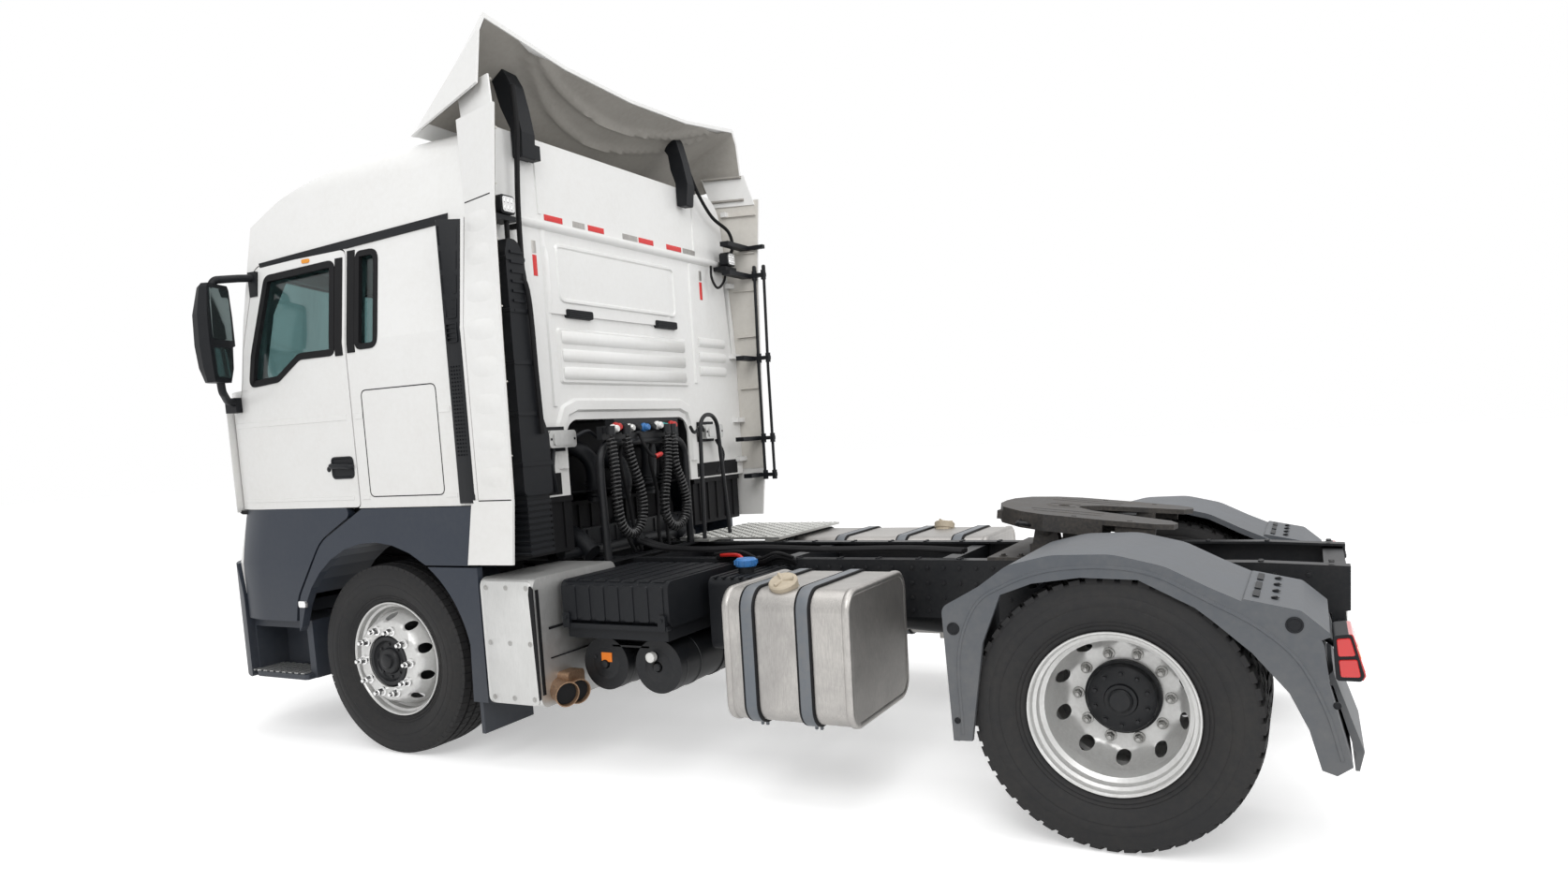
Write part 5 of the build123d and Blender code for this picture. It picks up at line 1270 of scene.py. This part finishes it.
    def half_rows(part):
        out = []
        for k, count in enumerate(counts):
            for i in range(count):
                t = i / count
                out.append([part[k][j] + (part[k + 1][j] - part[k][j]) * t for j in (0, 1)])
        return out + [list(part[-1])]
    f, r, d = half_rows(front), half_rows(rear), half_rows(inward)
    lining = Shape()
    grid = []
    for i in range(33):
        t = i / 32
        row = []
        for sign, order in ((1, range(len(f))), (-1, range(len(f) - 2, -1, -1))):
            for k in order:
                y = sign * (r[k][0] + (f[k][0] - r[k][0]) * t)
                x = 2.672 + 0.50 * t
                depth = 0.004
                arc = 1 - ((y + 0.05) / 0.85) ** 2
                if arc > -0.3:
                    for base, bulge in ((2.70, 0.27), (2.66, 0.17)):
                        depth += 0.026 * math.exp(-((x - base - bulge * arc) / 0.015) ** 2)
                t_adj = (x - 2.670) / 0.580
                y = sign * (r[k][0] + (f[k][0] - r[k][0]) * t_adj)
                z = r[k][1] + (f[k][1] - r[k][1]) * t_adj
                row.append((st(x), y - sign * d[k][0] * depth, z - d[k][1] * depth))
        grid.append(row)
    lining.rings(grid, closed=False)
    lining.make("deflector_lining", "underside", "cab", sharp=60)
    # ledges on the closing plates and inside the fins, in the same dark grey-beige painted shade
    ledges = Shape()
    for side in (-1, 1):
        for z in (3.075, 3.215):
            rows = []
            for x in (2.605, 2.68, 2.76, 2.84):
                y = 1.205 - (x - 2.585) * 0.34 - (z - 3.05) * 0.19
                rows.append([(st(x + 0.04), side * (y - d), z + h)
                             for d, h in ((0.004, 0), (0.030, 0.004), (0.030, 0.014), (0.004, 0.018))])
            ledges.rings(rows)
    ledges.make("closing_ledges", "underside", "cab")


cab_back()


# ---------------------------------------------------------------- chassis
TANK_SECTION = (0.600, 1.235, 0.362, 0.925)       # y and z of a fuel tank
TANKS = [(1, (0.978, 1.552), (1.178, 1.432)), (-1, (0.950, 2.330), (1.120, 1.450, 1.830, 2.160))]


def chassis_rail():
    bolts = Shape()
    for side in (-1, 1):
        y = side * 0.3855
        for x0, x1, rows in ((-0.62, -0.50, (0.72, 0.78, 0.84, 0.89)), (-0.34, 0.44, (0.72, 0.89)),
                             (0.56, 1.02, (0.70, 0.76, 0.83, 0.90)), (1.12, 1.90, (0.72, 0.90)),
                             (2.00, 2.78, (0.71, 0.88))):
            count = max(2, round((x1 - x0) / 0.062))
            for k in range(count):
                x = x0 + (x1 - x0) * k / (count - 1)
                for z in rows:
                    bolts.bolt((st(x), y, z), (0, side, 0), 0.0085, 0.008)
        for x in (-0.70, -0.45, -0.20, 0.05, 0.30, 0.62, 0.80, 1.00, 1.20, 1.40, 1.62, 1.86, 2.05):
            for dy in (0.325, 0.360):
                bolts.dome((st(x), side * dy, 0.937), (0, 0, 1), 0.011, 0.006, 12)
    for y in (-0.30, -0.22, 0.22, 0.30):
        for z in (0.79, 0.885):
            bolts.bolt((st(-0.757), y, z), (-1, 0, 0), 0.010, 0.010)
    bolts.make("rail_bolts", "frame", "chassis")
    # pipes and looms along the rails
    pipes = Shape()
    for side in (-1, 1):
        for k, r in enumerate((0.012, 0.009, 0.016)):
            y = side * (0.345 - 0.026 * k)
            pipes.tube([(st(x), y, 0.690 + 0.018 * k + 0.004 * (i % 2)) for i, x in
                        enumerate((-0.60, -0.20, 0.20, 0.60, 1.00, 1.40, 1.80, 2.20, 2.60, 3.00, 3.50))], r, 8)
    loom = [(2.60, 0.30, 1.02), (2.45, 0.26, 0.975), (2.20, 0.28, 0.970), (1.90, 0.24, 0.975), (1.50, 0.27, 0.970),
            (1.10, 0.24, 0.972), (0.80, 0.27, 0.965)]
    for dy, r in ((0, 0.014), (0.035, 0.011), (-0.034, 0.012)):
        pipes.hose([(x, y + dy, z) for x, y, z in loom], r)
    pipes.make("frame_pipes", "rubber", "chassis")
    # dark engine cover, hoses and pipes in the gap under the back of the cab
    engine = Shape()
    engine.prism(loop_of([(-0.62, 0.95, 0.02), (0.62, 0.95, 0.02), (0.62, 1.17, 0.06), (0.52, 1.245, 0.05),
                          (-0.52, 1.245, 0.05), (-0.62, 1.17, 0.06)], 0.2), 2.985, 3.655, rear_frame)
    for k in range(11):
        y = -0.55 + 0.11 * k
        engine.box((2.972, 2.990), (y - 0.012, y + 0.012), (0.97, 1.225))
    engine.make("engine_cover", "rubber", "chassis")
    for y, z, r in ((0.47, 1.02, 0.055), (-0.47, 1.00, 0.06), (0.0, 1.02, 0.045)):
        hose = Shape()
        hose.hose([(2.80, y, z - 0.05), (2.95, y, z + 0.06), (3.2, y, z + 0.10), (3.62, y * 0.95, z + 0.12)], r, 14)
        hose.make("gap_hose_%s" % ("left" if y > 0 else "right" if y < 0 else "middle"), "black", "chassis")
    cross = Shape()
    cross.hose([(2.86, -0.62, 0.965), (2.86, -0.2, 0.985), (2.86, 0.3, 0.975), (2.86, 0.66, 0.99)], 0.032, 12, 8)
    cross.box((2.900, 2.935), (-0.60, 0.60), (0.95, 1.10))
    for k in range(9):
        cross.box((2.892, 2.902), (-0.56 + 0.13 * k, -0.53 + 0.13 * k), (0.96, 1.09))
    cross.make("gap_crossmember", "frame", "chassis")


def tanks():
    """Straps, their rubber edges, end seams and the caps of the fuel tanks."""
    strap = Shape()
    rubber = Shape()
    cap = Shape()
    seam = Shape()
    y0, y1, z0, z1 = TANK_SECTION
    for side, (x_low, x_high), straps in TANKS:
        loop = rounded(min(side * y0, side * y1), max(side * y0, side * y1), z0, z1, 0.085, 8)
        for x in straps:
            outer = [grown(loop, d) for d in (0.009, 0.0105)]
            strap.layers(rear_frame, ((outer[0], x - 0.026), (outer[1], x - 0.022), (outer[1], x + 0.022),
                                      (outer[0], x + 0.026)), False)
            for e in (-1, 1):
                rubber.layers(rear_frame, [(grown(loop, d), x + e * w) for w, d in
                                           ((0.026, 0.001), (0.026, 0.011), (0.034, 0.009), (0.036, 0.001))], False)
            for k in range(2):
                strap.bolt((st(x - 0.012 + 0.024 * k), side * (y1 - 0.10), z0 - 0.011), (0, 0, -1), 0.008, 0.02)
        for x, e in ((x_low, -1), (x_high, 1)):
            seam.layers(rear_frame, [(grown(loop, d), x + e * w) for w, d in
                                     ((-0.030, 0.0005), (-0.026, 0.005), (-0.014, 0.006), (-0.002, 0.004),
                                      (0.004, -0.006), (0.002, -0.020), (0, -0.022))], False)
    strap.make("tank_straps", "strap", "chassis", sharp=50)
    rubber.make("tank_strap_rubbers", "rubber", "chassis", sharp=50)
    seam.make("tank_end_seams", "tank", "chassis", sharp=60)
    for x, y, z, tilt in ((1.300, 1.128, 0.902, 0.50), (1.35, -1.100, 0.900, -0.35)):
        axis = Vector((0, tilt, 1)).normalized()
        base = Vector((st(x), y, z))
        cap.cap([(0, -0.01), (0.060, -0.02), (0.060, 0.010), (0.054, 0.016), (0.054, 0.022), (0.060, 0.025),
                 (0.062, 0.056), (0.056, 0.062), (0.016, 0.064), (0, 0.064)], base, axis, 30)
        for k in range(3):
            a = 2 * math.pi * k / 3 + 0.4
            side_ = axis.orthogonal().normalized()
            other = axis.cross(side_)
            cap.tube([base + axis * 0.062, base + axis * 0.067 + (side_ * math.cos(a) + other * math.sin(a)) * 0.048],
                     0.008, 8)
    cap.make("tank_caps", "beige", "chassis")
    ring = Shape()
    ring.revolve([(0.066, -0.012), (0.078, -0.012), (0.076, 0.004), (0.066, 0.006)], (st(1.300), 1.126, 0.898),
                 (0, 0.45, 0.89), 30)
    ring.make("tank_cap_ring", "zinc", "chassis")


def exhaust():
    box = Shape()
    outer = soft_box(2.575, 2.870, 0.350, 0.940, 0.03, 0.06)
    frame = side_frame(1)
    box.layers(frame, ((outer, 1.225), (outer, 1.2365), (grown(outer, -0.006), 1.240)))
    box.make("exhaust_cover", "box_sheet", "chassis")
    screws = Shape()
    for x in (2.600, 2.722, 2.845):
        for z in (0.380, 0.645, 0.910):
            screws.dome(frame(x, z, 1.2385), (0, 1, 0), 0.013, 0.004, 16)
            screws.bolt(frame(x, z, 1.2405), (0, 1, 0), 0.007, 0.005, washer=False)
    screws.make("exhaust_screws", "zinc", "chassis")
    slit = Shape()
    slit.prism(loop_of([(2.561, 0.385, 0.01), (2.572, 0.375, 0.01), (2.588, 0.880, 0.02), (2.580, 0.925, 0.01),
                        (2.561, 0.905, 0.01)]), 1.200, 1.2412, frame)
    slit.box((2.5565, 2.561), (1.205, 1.225), (0.40, 0.90))
    slit.box((2.556, 2.5615), (0.70, 1.15), (0.700, 0.712))
    slit.box((2.556, 2.5615), (0.70, 1.15), (0.560, 0.566))
    slit.make("exhaust_slits", "rubber", "chassis")
    outlet = Shape()
    for y, z in ((1.120, 0.405), (1.035, 0.398)):
        outlet.revolve([(0.030, -0.02), (0.054, -0.02), (0.056, 0.04), (0.062, 0.085), (0.057, 0.085), (0.050, 0.04),
                        (0.030, 0.02)], (st(2.550), y, z), (-1, 0.45, -0.15), 28)
    outlet.prism(rounded(0.994, 1.116, 0.339, 0.486, 0.02), 2.494, 2.574, rear_frame)
    outlet.make("exhaust_outlets", "copper", "chassis")
    # black disc a little inside each pipe's mouth: soot, and painted shade for the dark inside of the pipe
    soot_and_shade = Shape()
    for y, z in ((1.120, 0.405), (1.035, 0.398)):
        soot_and_shade.revolve([(0, 0.066), (0.052, 0.066), (0.052, 0.070), (0, 0.070)], (st(2.550), y, z), (-1, 0.45, -0.15), 20)
    soot_and_shade.make("exhaust_throats", "rubber", "chassis")


def batteries():
    box = Shape()
    for k in range(7):
        x = 1.950 + 0.082 * k
        box.prism(rounded(0.470, 1.060, 0.917, 0.929, 0.006), x, x + 0.058, rear_frame)
        box.prism(rounded(x, x + 0.058, 0.735, 0.905, 0.012), 1.070, 1.0795, side_frame(1), 0.003)
    box.prism(soft_box(1.93, 2.525, 0.700, 0.722, 0.01, 0.1),
              1.06, 1.088, side_frame(1))
    for x in (1.96, 2.50):
        box.prism(rounded(x - 0.02, x + 0.02, 0.700, 0.775, 0.01), 1.066, 1.092, side_frame(1))
        box.dome(side_frame(1)(x, 0.750, 1.092), (0, 1, 0), 0.008, 0.006)
    for k in range(5):
        x = 1.66 + 0.045 * k
        box.prism(rounded(0.400, 0.795, 0.900, 0.909, 0.004), x, x + 0.016, rear_frame)
    box.make("battery_cover_ribs", "black", "chassis")
    red = Shape()
    red.cap([(0, 0), (0.020, 0), (0.020, 0.03), (0.012, 0.045), (0, 0.045)], (st(1.85), 0.50, 0.906), (0, 0, 1), 16)
    red.hose([(1.85, 0.50, 0.94), (1.90, 0.47, 0.965), (2.02, 0.43, 0.96)], 0.010)
    red.make("battery_fittings", "red", "chassis")
    blue = Shape()
    blue.cap([(0, 0), (0.050, 0), (0.052, 0.008), (0.052, 0.030), (0.044, 0.038), (0, 0.038)],
             (st(1.760), 0.640, 0.938), (0, 0, 1), 28)
    for a in turns(10):
        x, y = 1.760 + 0.052 * math.cos(a), 0.640 + 0.052 * math.sin(a)
        blue.box((x - 0.004, x + 0.004), (y - 0.004, y + 0.004), (0.946, 0.968))
    blue.make("blue_filler_cap", "blue", "chassis")
    drum = Shape()
    for x in (2.065, 2.365):
        drum.cap([(0, 0.990), (0.050, 0.990), (0.110, 0.978), (0.126, 0.958), (0.130, 0.930), (0.1285, 0.925),
                  (0.120, 0.925), (0, 0.925)], (st(x), 0, 0.510), (0, 1, 0), 40)
        for y in (0.48, 0.80):
            drum.revolve([(0.128, y - 0.016), (0.1315, y - 0.014), (0.1315, y + 0.014), (0.128, y + 0.016)],
                         (st(x), 0, 0.510), (0, 1, 0), 40)
        drum.dome((st(x), 0.990, 0.510), (0, 1, 0), 0.020, 0.014, 14)
        drum.bolt((st(x) + 0.06, 0.984, 0.540), (0, 1, 0), 0.010, 0.010)
    drum.box((2.110, 2.320), (0.905, 0.985), (0.595, 0.604))
    drum.make("air_tank_ends", "frame", "chassis", sharp=45)
    label = Shape()
    label.prism(rounded(2.325, 2.385, 0.520, 0.565, 0.003), 0.986, 0.992, side_frame(1))
    label.make("blank_label", "orange", "chassis")
    valve = Shape()
    valve.cap([(0, -0.03), (0.012, -0.03), (0.016, 0), (0.024, 0.004), (0.024, 0.03), (0.016, 0.036), (0, 0.036)],
              (st(2.085), 0.992, 0.560), (0, 1, 0), 18)
    valve.make("drain_valve", "white", "chassis")
    hose = Shape()
    for x, y, z in ((2.02, 0.45, 0.70), (2.20, 0.44, 0.66), (2.42, 0.46, 0.70), (1.80, 0.42, 0.72)):
        hose.hose([(x, 0.40, z + 0.10), (x + 0.02, y + 0.05, z + 0.02), (x - 0.03, y + 0.12, z - 0.06),
                   (x - 0.10, y + 0.02, z - 0.04), (x - 0.13, 0.40, z + 0.05)], 0.010)
    clutter = [(1.62, 0.395, 0.93), (1.68, 0.46, 0.96), (1.78, 0.45, 0.93), (1.90, 0.42, 0.96), (2.06, 0.405, 0.945)]
    for dz, r in ((0, 0.012), (0.02, 0.008), (-0.018, 0.010)):
        hose.hose([(x, y + dz, z + dz) for x, y, z in clutter], r)
    hose.make("battery_cables", "rubber", "chassis")


def walkway():
    plate = Shape()
    frame = plan_frame
    for i in range(17):
        for j in range(21):
            x, y = 2.10 + 0.040 * i, -1.160 + 0.040 * j
            turn = 1 if (i + j) % 2 else -1
            dx, dy = 0.011, 0.011 * turn
            nx, ny = 0.0035 * turn, -0.0035
            loop = [(x - dx - nx, y - dy - ny), (x + dx - nx, y + dy - ny), (x + dx + nx, y + dy + ny),
                    (x - dx + nx, y - dy + ny)]
            plate.layers(frame, ((loop, 0.9615), (grown(loop, -0.001), 0.965)))
    plate.make("tread_pattern", "tread_plate", "chassis", sharp=60)


GROOVE = ((-0.008, 1.2385), (-0.004, 1.2435), (0.004, 1.2435), (0.008, 1.2385))      # (across, out) of its section


def guards():
    trim = Shape()
    dark = Shape()
    for side in (-1, 1):
        frame = side_frame(side)
        # groove line round the arch
        path = [(0.530, 0.40), (0.535, 0.70), (0.470, 0.885), (0.360, 0.965), (0.200, 1.022), (0.0, 1.036),
                (-0.160, 1.010), (-0.320, 0.930), (-0.470, 0.848), (-0.590, 0.740), (-0.670, 0.580), (-0.715, 0.420)]
        line = smooth_line([(u, v, 0) for u, v in path], 5)
        trim.rings([[frame(p.x + n.x * d, p.y + n.y * d, w) for d, w in GROOVE] for p, n in walk(line)])
        for x, z, r in ((-0.580, 0.856, 0.027), (0.553, 0.800, 0.024), (-0.700, 0.600, 0.012), (0.550, 0.45, 0.012)):
            dark.cap([(0, 0), (r, 0), (r, 0.0025), (r * 0.8, 0.004), (r * 0.72, 0.0015), (0, 0.0015)],
                     frame(x, z, 1.2395), (0, side, 0), 24)
        for y in (0.70, 0.84, 0.98, 1.12):
            dark.bolt((st(-0.52), side * y, 0.920), (0.15, 0, 1), 0.011, 0.008)
        for y0, y1 in ((0.66, 0.80), (0.86, 1.00), (1.04, 1.16)):
            a, b = span(side, y0, y1)
            dark.add(at([(-0.455, a, 0.9345), (-0.455, b, 0.9345), (-0.475, b, 0.9305), (-0.475, a, 0.9305),
                         (-0.455, a, 0.9375), (-0.455, b, 0.9375), (-0.475, b, 0.9335), (-0.475, a, 0.9335)]), LID)
    trim.make("mudguard_grooves", "guard", "chassis", sharp=50)
    dark.make("mudguard_fasteners", "black", "chassis", sharp=40)
    lamp = Shape()
    lens = Shape()
    amber = Shape()
    clear = Shape()
    for side in (-1, 1):
        y0, y1 = span(side, 1.006, 1.236)
        body = loop_of([(-0.700, 0.684, 0.008), (-0.692, 0.822, 0.01), (-0.738, 0.828, 0.01), (-0.772, 0.700, 0.01),
                        (-0.764, 0.684, 0.006)], 0.05)
        lamp.prism(grown(body, 0.0035), y0 - 0.001, y1 + 0.001, lambda u, v, w: (st(u), w, v))
        low, high = Vector((-0.7755, 0.700)), Vector((-0.742, 0.826))
        def face(t, d):
            p = low.lerp(high, t)
            n = Vector((-(high - low).normalized().y, (high - low).normalized().x))
            return p + n * d
        for t0, t1, target in ((0.06, 0.36, lens), (0.40, 0.66, amber), (0.70, 0.94, lens)):
            for k, (s0, s1) in enumerate(((0.006, 0.112), (0.120, 0.224))):
                part = clear if (target is lens and t0 > 0.5 and k == 0) else target
                ya, yb = y0 + s0, y0 + s1
                rows = []
                for d, e in ((-0.002, 0.0), (0.0035, 0.0), (0.0045, 0.003)):
                    q0, q1 = face(t0, d), face(t1, d)
                    rows.append([(st(q0.x), ya + e, q0.y + e), (st(q0.x), yb - e, q0.y + e),
                                 (st(q1.x), yb - e, q1.y - e), (st(q1.x), ya + e, q1.y - e)])
                part.rings(rows)
        lamp.hose([(-0.70, side * 1.02, 0.75), (-0.66, side * 0.96, 0.77), (-0.60, side * 0.80, 0.80)], 0.010, 8, 5)
        for cell in ([(-0.709, 0.692), (-0.703, 0.748), (-0.755, 0.752), (-0.766, 0.694)],
                     [(-0.702, 0.758), (-0.697, 0.815), (-0.736, 0.820), (-0.752, 0.762)]):
            loop = loop_of([(u, v, 0.008) for u, v in cell], 0.03)
            lens.prism(loop, 1.2365, 1.2425, side_frame(side), 0.002)
    lamp.make("tail_lamp_bodies", "black", "chassis")
    lens.make("tail_lamp_lenses", "lamp", "chassis")
    amber.make("tail_lamp_amber", "yellow", "chassis")
    clear.make("tail_lamp_clear", "box_sheet", "chassis")
    # rear end: cross beam and blank plate
    end = Shape()
    end.box((-0.752, -0.720), (-0.62, 0.62), (0.655, 0.715))
    for side in (-1, 1):
        end.box((-0.745, -0.700), span(side, 0.36, 0.384), (0.66, 0.78))
        end.tube([(st(-0.735), side * 0.60, 0.685), (st(-0.735), side * 1.02, 0.72)], 0.016, 10)
    end.make("rear_beam", "frame", "chassis")
    plate = Shape()
    plate.box((-0.757, -0.752), (-0.26, 0.26), (0.650, 0.760))
    plate.make("blank_rear_plate", "white", "chassis")


def coupling():
    """Grooves, jaw ring, bolts and release lever of the fifth wheel, and the bolts of its base."""
    turn = Matrix.Rotation(math.radians(-6), 3, "Y")
    pivot = Vector((st(0.400), 0, 1.080))

    def tilted(x, y, z):
        return tuple(pivot + turn @ (Vector((st(x), y, z)) - pivot))
    shape = Shape()
    top = 1.147
    for y in (-0.30, -0.22, 0.22, 0.30):
        loop = rounded(0.18, 0.58 - abs(y) * 0.35, y - 0.006, y + 0.006, 0.005, 3)
        shape.layers(tilted, ((loop, top - 0.001), (grown(loop, -0.002), top + 0.0016)))
    ring = [(0.4 + 0.075 * math.cos(math.radians(a)), 0.075 * math.sin(math.radians(a))) for a in range(-140, 141, 14)]
    rows = []
    for u, v in ring:
        d = Vector((u - 0.4, v)).normalized()
        rows.append([tilted(u + d.x * e, v + d.y * e, top + h)
                     for e, h in ((-0.010, -0.001), (-0.006, 0.002), (0.006, 0.002), (0.010, -0.001))])
    shape.rings(rows)
    for y in (-0.39, 0.39):
        for x in (0.05, 0.28):
            shape.bolt(tilted(x, y, top - 0.001), tuple(turn @ Vector((0, 0, 1))), 0.012, 0.003)
    shape.make("coupling_top", "iron", "fifth_wheel", sharp=45)
    gear = Shape()
    gear.tube([tilted(0.55, 0.10, top - 0.040), tilted(0.52, 0.30, top - 0.045), tilted(0.50, 0.47, top - 0.048)],
              0.011, 10)
    gear.tube(smooth_line([tilted(0.50, 0.46, top - 0.048), tilted(0.49, 0.50, top - 0.040),
                           tilted(0.46, 0.50, top - 0.040), tilted(0.45, 0.46, top - 0.048)], 4), 0.009, 8)
    for y in (-0.18, 0.18):
        gear.tube([tilted(0.10, y, top - 0.036), tilted(0.60, y * 0.8, top - 0.040)], 0.014, 8)
    gear.make("coupling_lever", "frame", "fifth_wheel")
    base = Shape()
    for side in (-1, 1):
        for x in (0.20, 0.28, 0.36, 0.44, 0.52, 0.60):
            base.bolt((st(x), side * 0.335, 0.951), (0, 0, 1), 0.012, 0.012)
        base.cap([(0, 0), (0.034, 0), (0.034, 0.008), (0.022, 0.014), (0, 0.014)],
                 (st(0.400), side * 0.3735, 1.080), (0, side, 0), 24)
    base.make("coupling_base_bolts", "iron", "chassis")


def fittings():
    parts = {"red": [(0.445, 1.640), (-0.080, 1.640)], "white": [(0.470, 1.630), (0.060, 1.640)],
             "box_sheet": [(0.330, 1.632)], "blue": [(0.190, 1.632)], "teal": [(0.000, 1.632)],
             "black": [(0.270, 1.632), (0.130, 1.632), (0.395, 1.640)]}
    for material, spots in parts.items():
        shape = Shape()
        for y, z in spots:
            shape.cap([(0, 0), (0.024, 0), (0.024, 0.012), (0.019, 0.016), (0.019, 0.034), (0.013, 0.042), (0, 0.042)],
                      (st(2.611), y, z), (-1, 0, 0), 18)
            shape.box((2.571, 2.575), (y - 0.004, y + 0.004), (z - 0.015, z + 0.015))
        shape.make("coupling_fittings_" + material, material, "chassis")
    hose = Shape()
    for y in (0.43, 0.34, 0.06, -0.05):
        hose.hose([(2.640, y, 1.580), (2.655, y + 0.02, 1.46), (2.660, y - 0.04, 1.25), (2.650, y * 0.8, 1.05),
                   (2.640, y * 0.7, 0.96)], 0.010)
    hose.make("panel_hoses", "rubber", "chassis")
    tip = Shape()
    tip.cap([(0, 0), (0.013, 0), (0.013, 0.035), (0.008, 0.045), (0, 0.045)], (st(2.560), 0.16, 1.470),
            (-0.4, -0.8, 0.3), 14)
    tip.make("short_hose_tip", "red", "chassis")
    short = Shape()
    short.hose([(2.605, 0.24, 1.600), (2.570, 0.25, 1.54), (2.562, 0.21, 1.485), (2.560, 0.16, 1.470)], 0.009, 8, 5)
    short.make("short_hose", "rubber", "chassis")


def running_gear():
    """Air bellows, dampers and spring bolts of the axles."""
    bag = Shape()
    for side in (-1, 1):
        for x in (-0.33, 0.33):
            bag.revolve([(0.09, 0.478), (0.124, 0.485), (0.129, 0.530), (0.1235, 0.560), (0.1235, 0.568), (0.129, 0.60),
                         (0.124, 0.650), (0.09, 0.664)], (st(x), side * 0.345, 0), (0, 0, 1), 28)
    bag.make("air_bellows", "rubber", "chassis")
    damper = Shape()
    for side in (-1, 1):
        for x0, z0, x1, z1, y in ((0.14, 0.42, 0.30, 0.84, 0.44), (3.42, 0.50, 3.28, 0.90, 0.43)):
            a, b = Vector((st(x0), side * y, z0)), Vector((st(x1), side * y, z1))
            damper.tube([a, a.lerp(b, 0.5)], 0.030, 14)
            damper.tube([a.lerp(b, 0.45), b], 0.036, 14)
    damper.make("dampers", "frame", "chassis")
    plate = Shape()
    for side in (-1, 1):
        for k in range(2):
            plate.bolt((st(3.56 + 0.08 * k), side * 0.43, 0.625), (0, 0, 1), 0.012, 0.03)
    plate.make("spring_bolts", "zinc", "chassis")


chassis_rail()
tanks()
exhaust()
batteries()
walkway()
guards()
coupling()
fittings()
running_gear()


# ---------------------------------------------------------------- stage and light
def seen(nt):
    """One for rays that come from the camera, a reflection or a clear material."""
    path = nt.nodes.new("ShaderNodeLightPath")
    total = path.outputs["Is Camera Ray"]
    for kind in ("Is Glossy Ray", "Is Transmission Ray"):
        total = math_node(nt, "ADD", total, path.outputs[kind], clamp=True)
    return total


def stage():
    """Pale floor, a white surround for the camera and metal, and soft lamps."""
    bpy.ops.mesh.primitive_plane_add(size=120, location=(0, 0, -0.001))
    floor = bpy.context.object
    floor.name = "floor"
    mat, nt, shader = new_material("floor")
    shader.inputs["Base Color"].default_value = (0.80, 0.80, 0.80, 1)
    shader.inputs["Roughness"].default_value = 0.9
    shader.inputs["Specular IOR Level"].default_value = 0.1
    shader.inputs["Emission Color"].default_value = (1, 1, 1, 1)
    nt.links.new(math_node(nt, "MULTIPLY", seen(nt), 0.42), shader.inputs["Emission Strength"])
    floor.data.materials.append(mat)
    world = bpy.data.worlds.new("studio")
    bpy.context.scene.world = world
    world.use_nodes = True
    nt = world.node_tree
    base = nt.nodes["Background"]
    base.inputs["Color"].default_value = (1, 1, 1, 1)
    base.inputs["Strength"].default_value = 0.75
    white = nt.nodes.new("ShaderNodeBackground")
    white.inputs["Color"].default_value = (1, 1, 1, 1)
    white.inputs["Strength"].default_value = 1.0
    either = nt.nodes.new("ShaderNodeMixShader")
    nt.links.new(seen(nt), either.inputs[0])
    nt.links.new(base.outputs[0], either.inputs[1])
    nt.links.new(white.outputs[0], either.inputs[2])
    nt.links.new(either.outputs[0], nt.nodes["World Output"].inputs["Surface"])
    for name, spot, aim, size, energy in (("key", (-3.5, 9.0, 8.5), (0, 0, 1.2), 6.0, 520),
                                          ("rear", (-9.0, 1.0, 6.5), (-1, 0, 1.2), 6.0, 260),
                                          ("top", (0, 0, 9.5), (0, 0, 0), 8.0, 300)):
        light = bpy.data.lights.new(name, "AREA")
        light.size = size
        light.energy = energy
        obj = bpy.data.objects.new(name, light)
        obj.location = spot
        obj.rotation_euler = (Vector(aim) - Vector(spot)).to_track_quat("-Z", "Y").to_euler()
        bpy.context.scene.collection.objects.link(obj)


stage()
bpy.context.scene.view_settings.view_transform = "Standard"
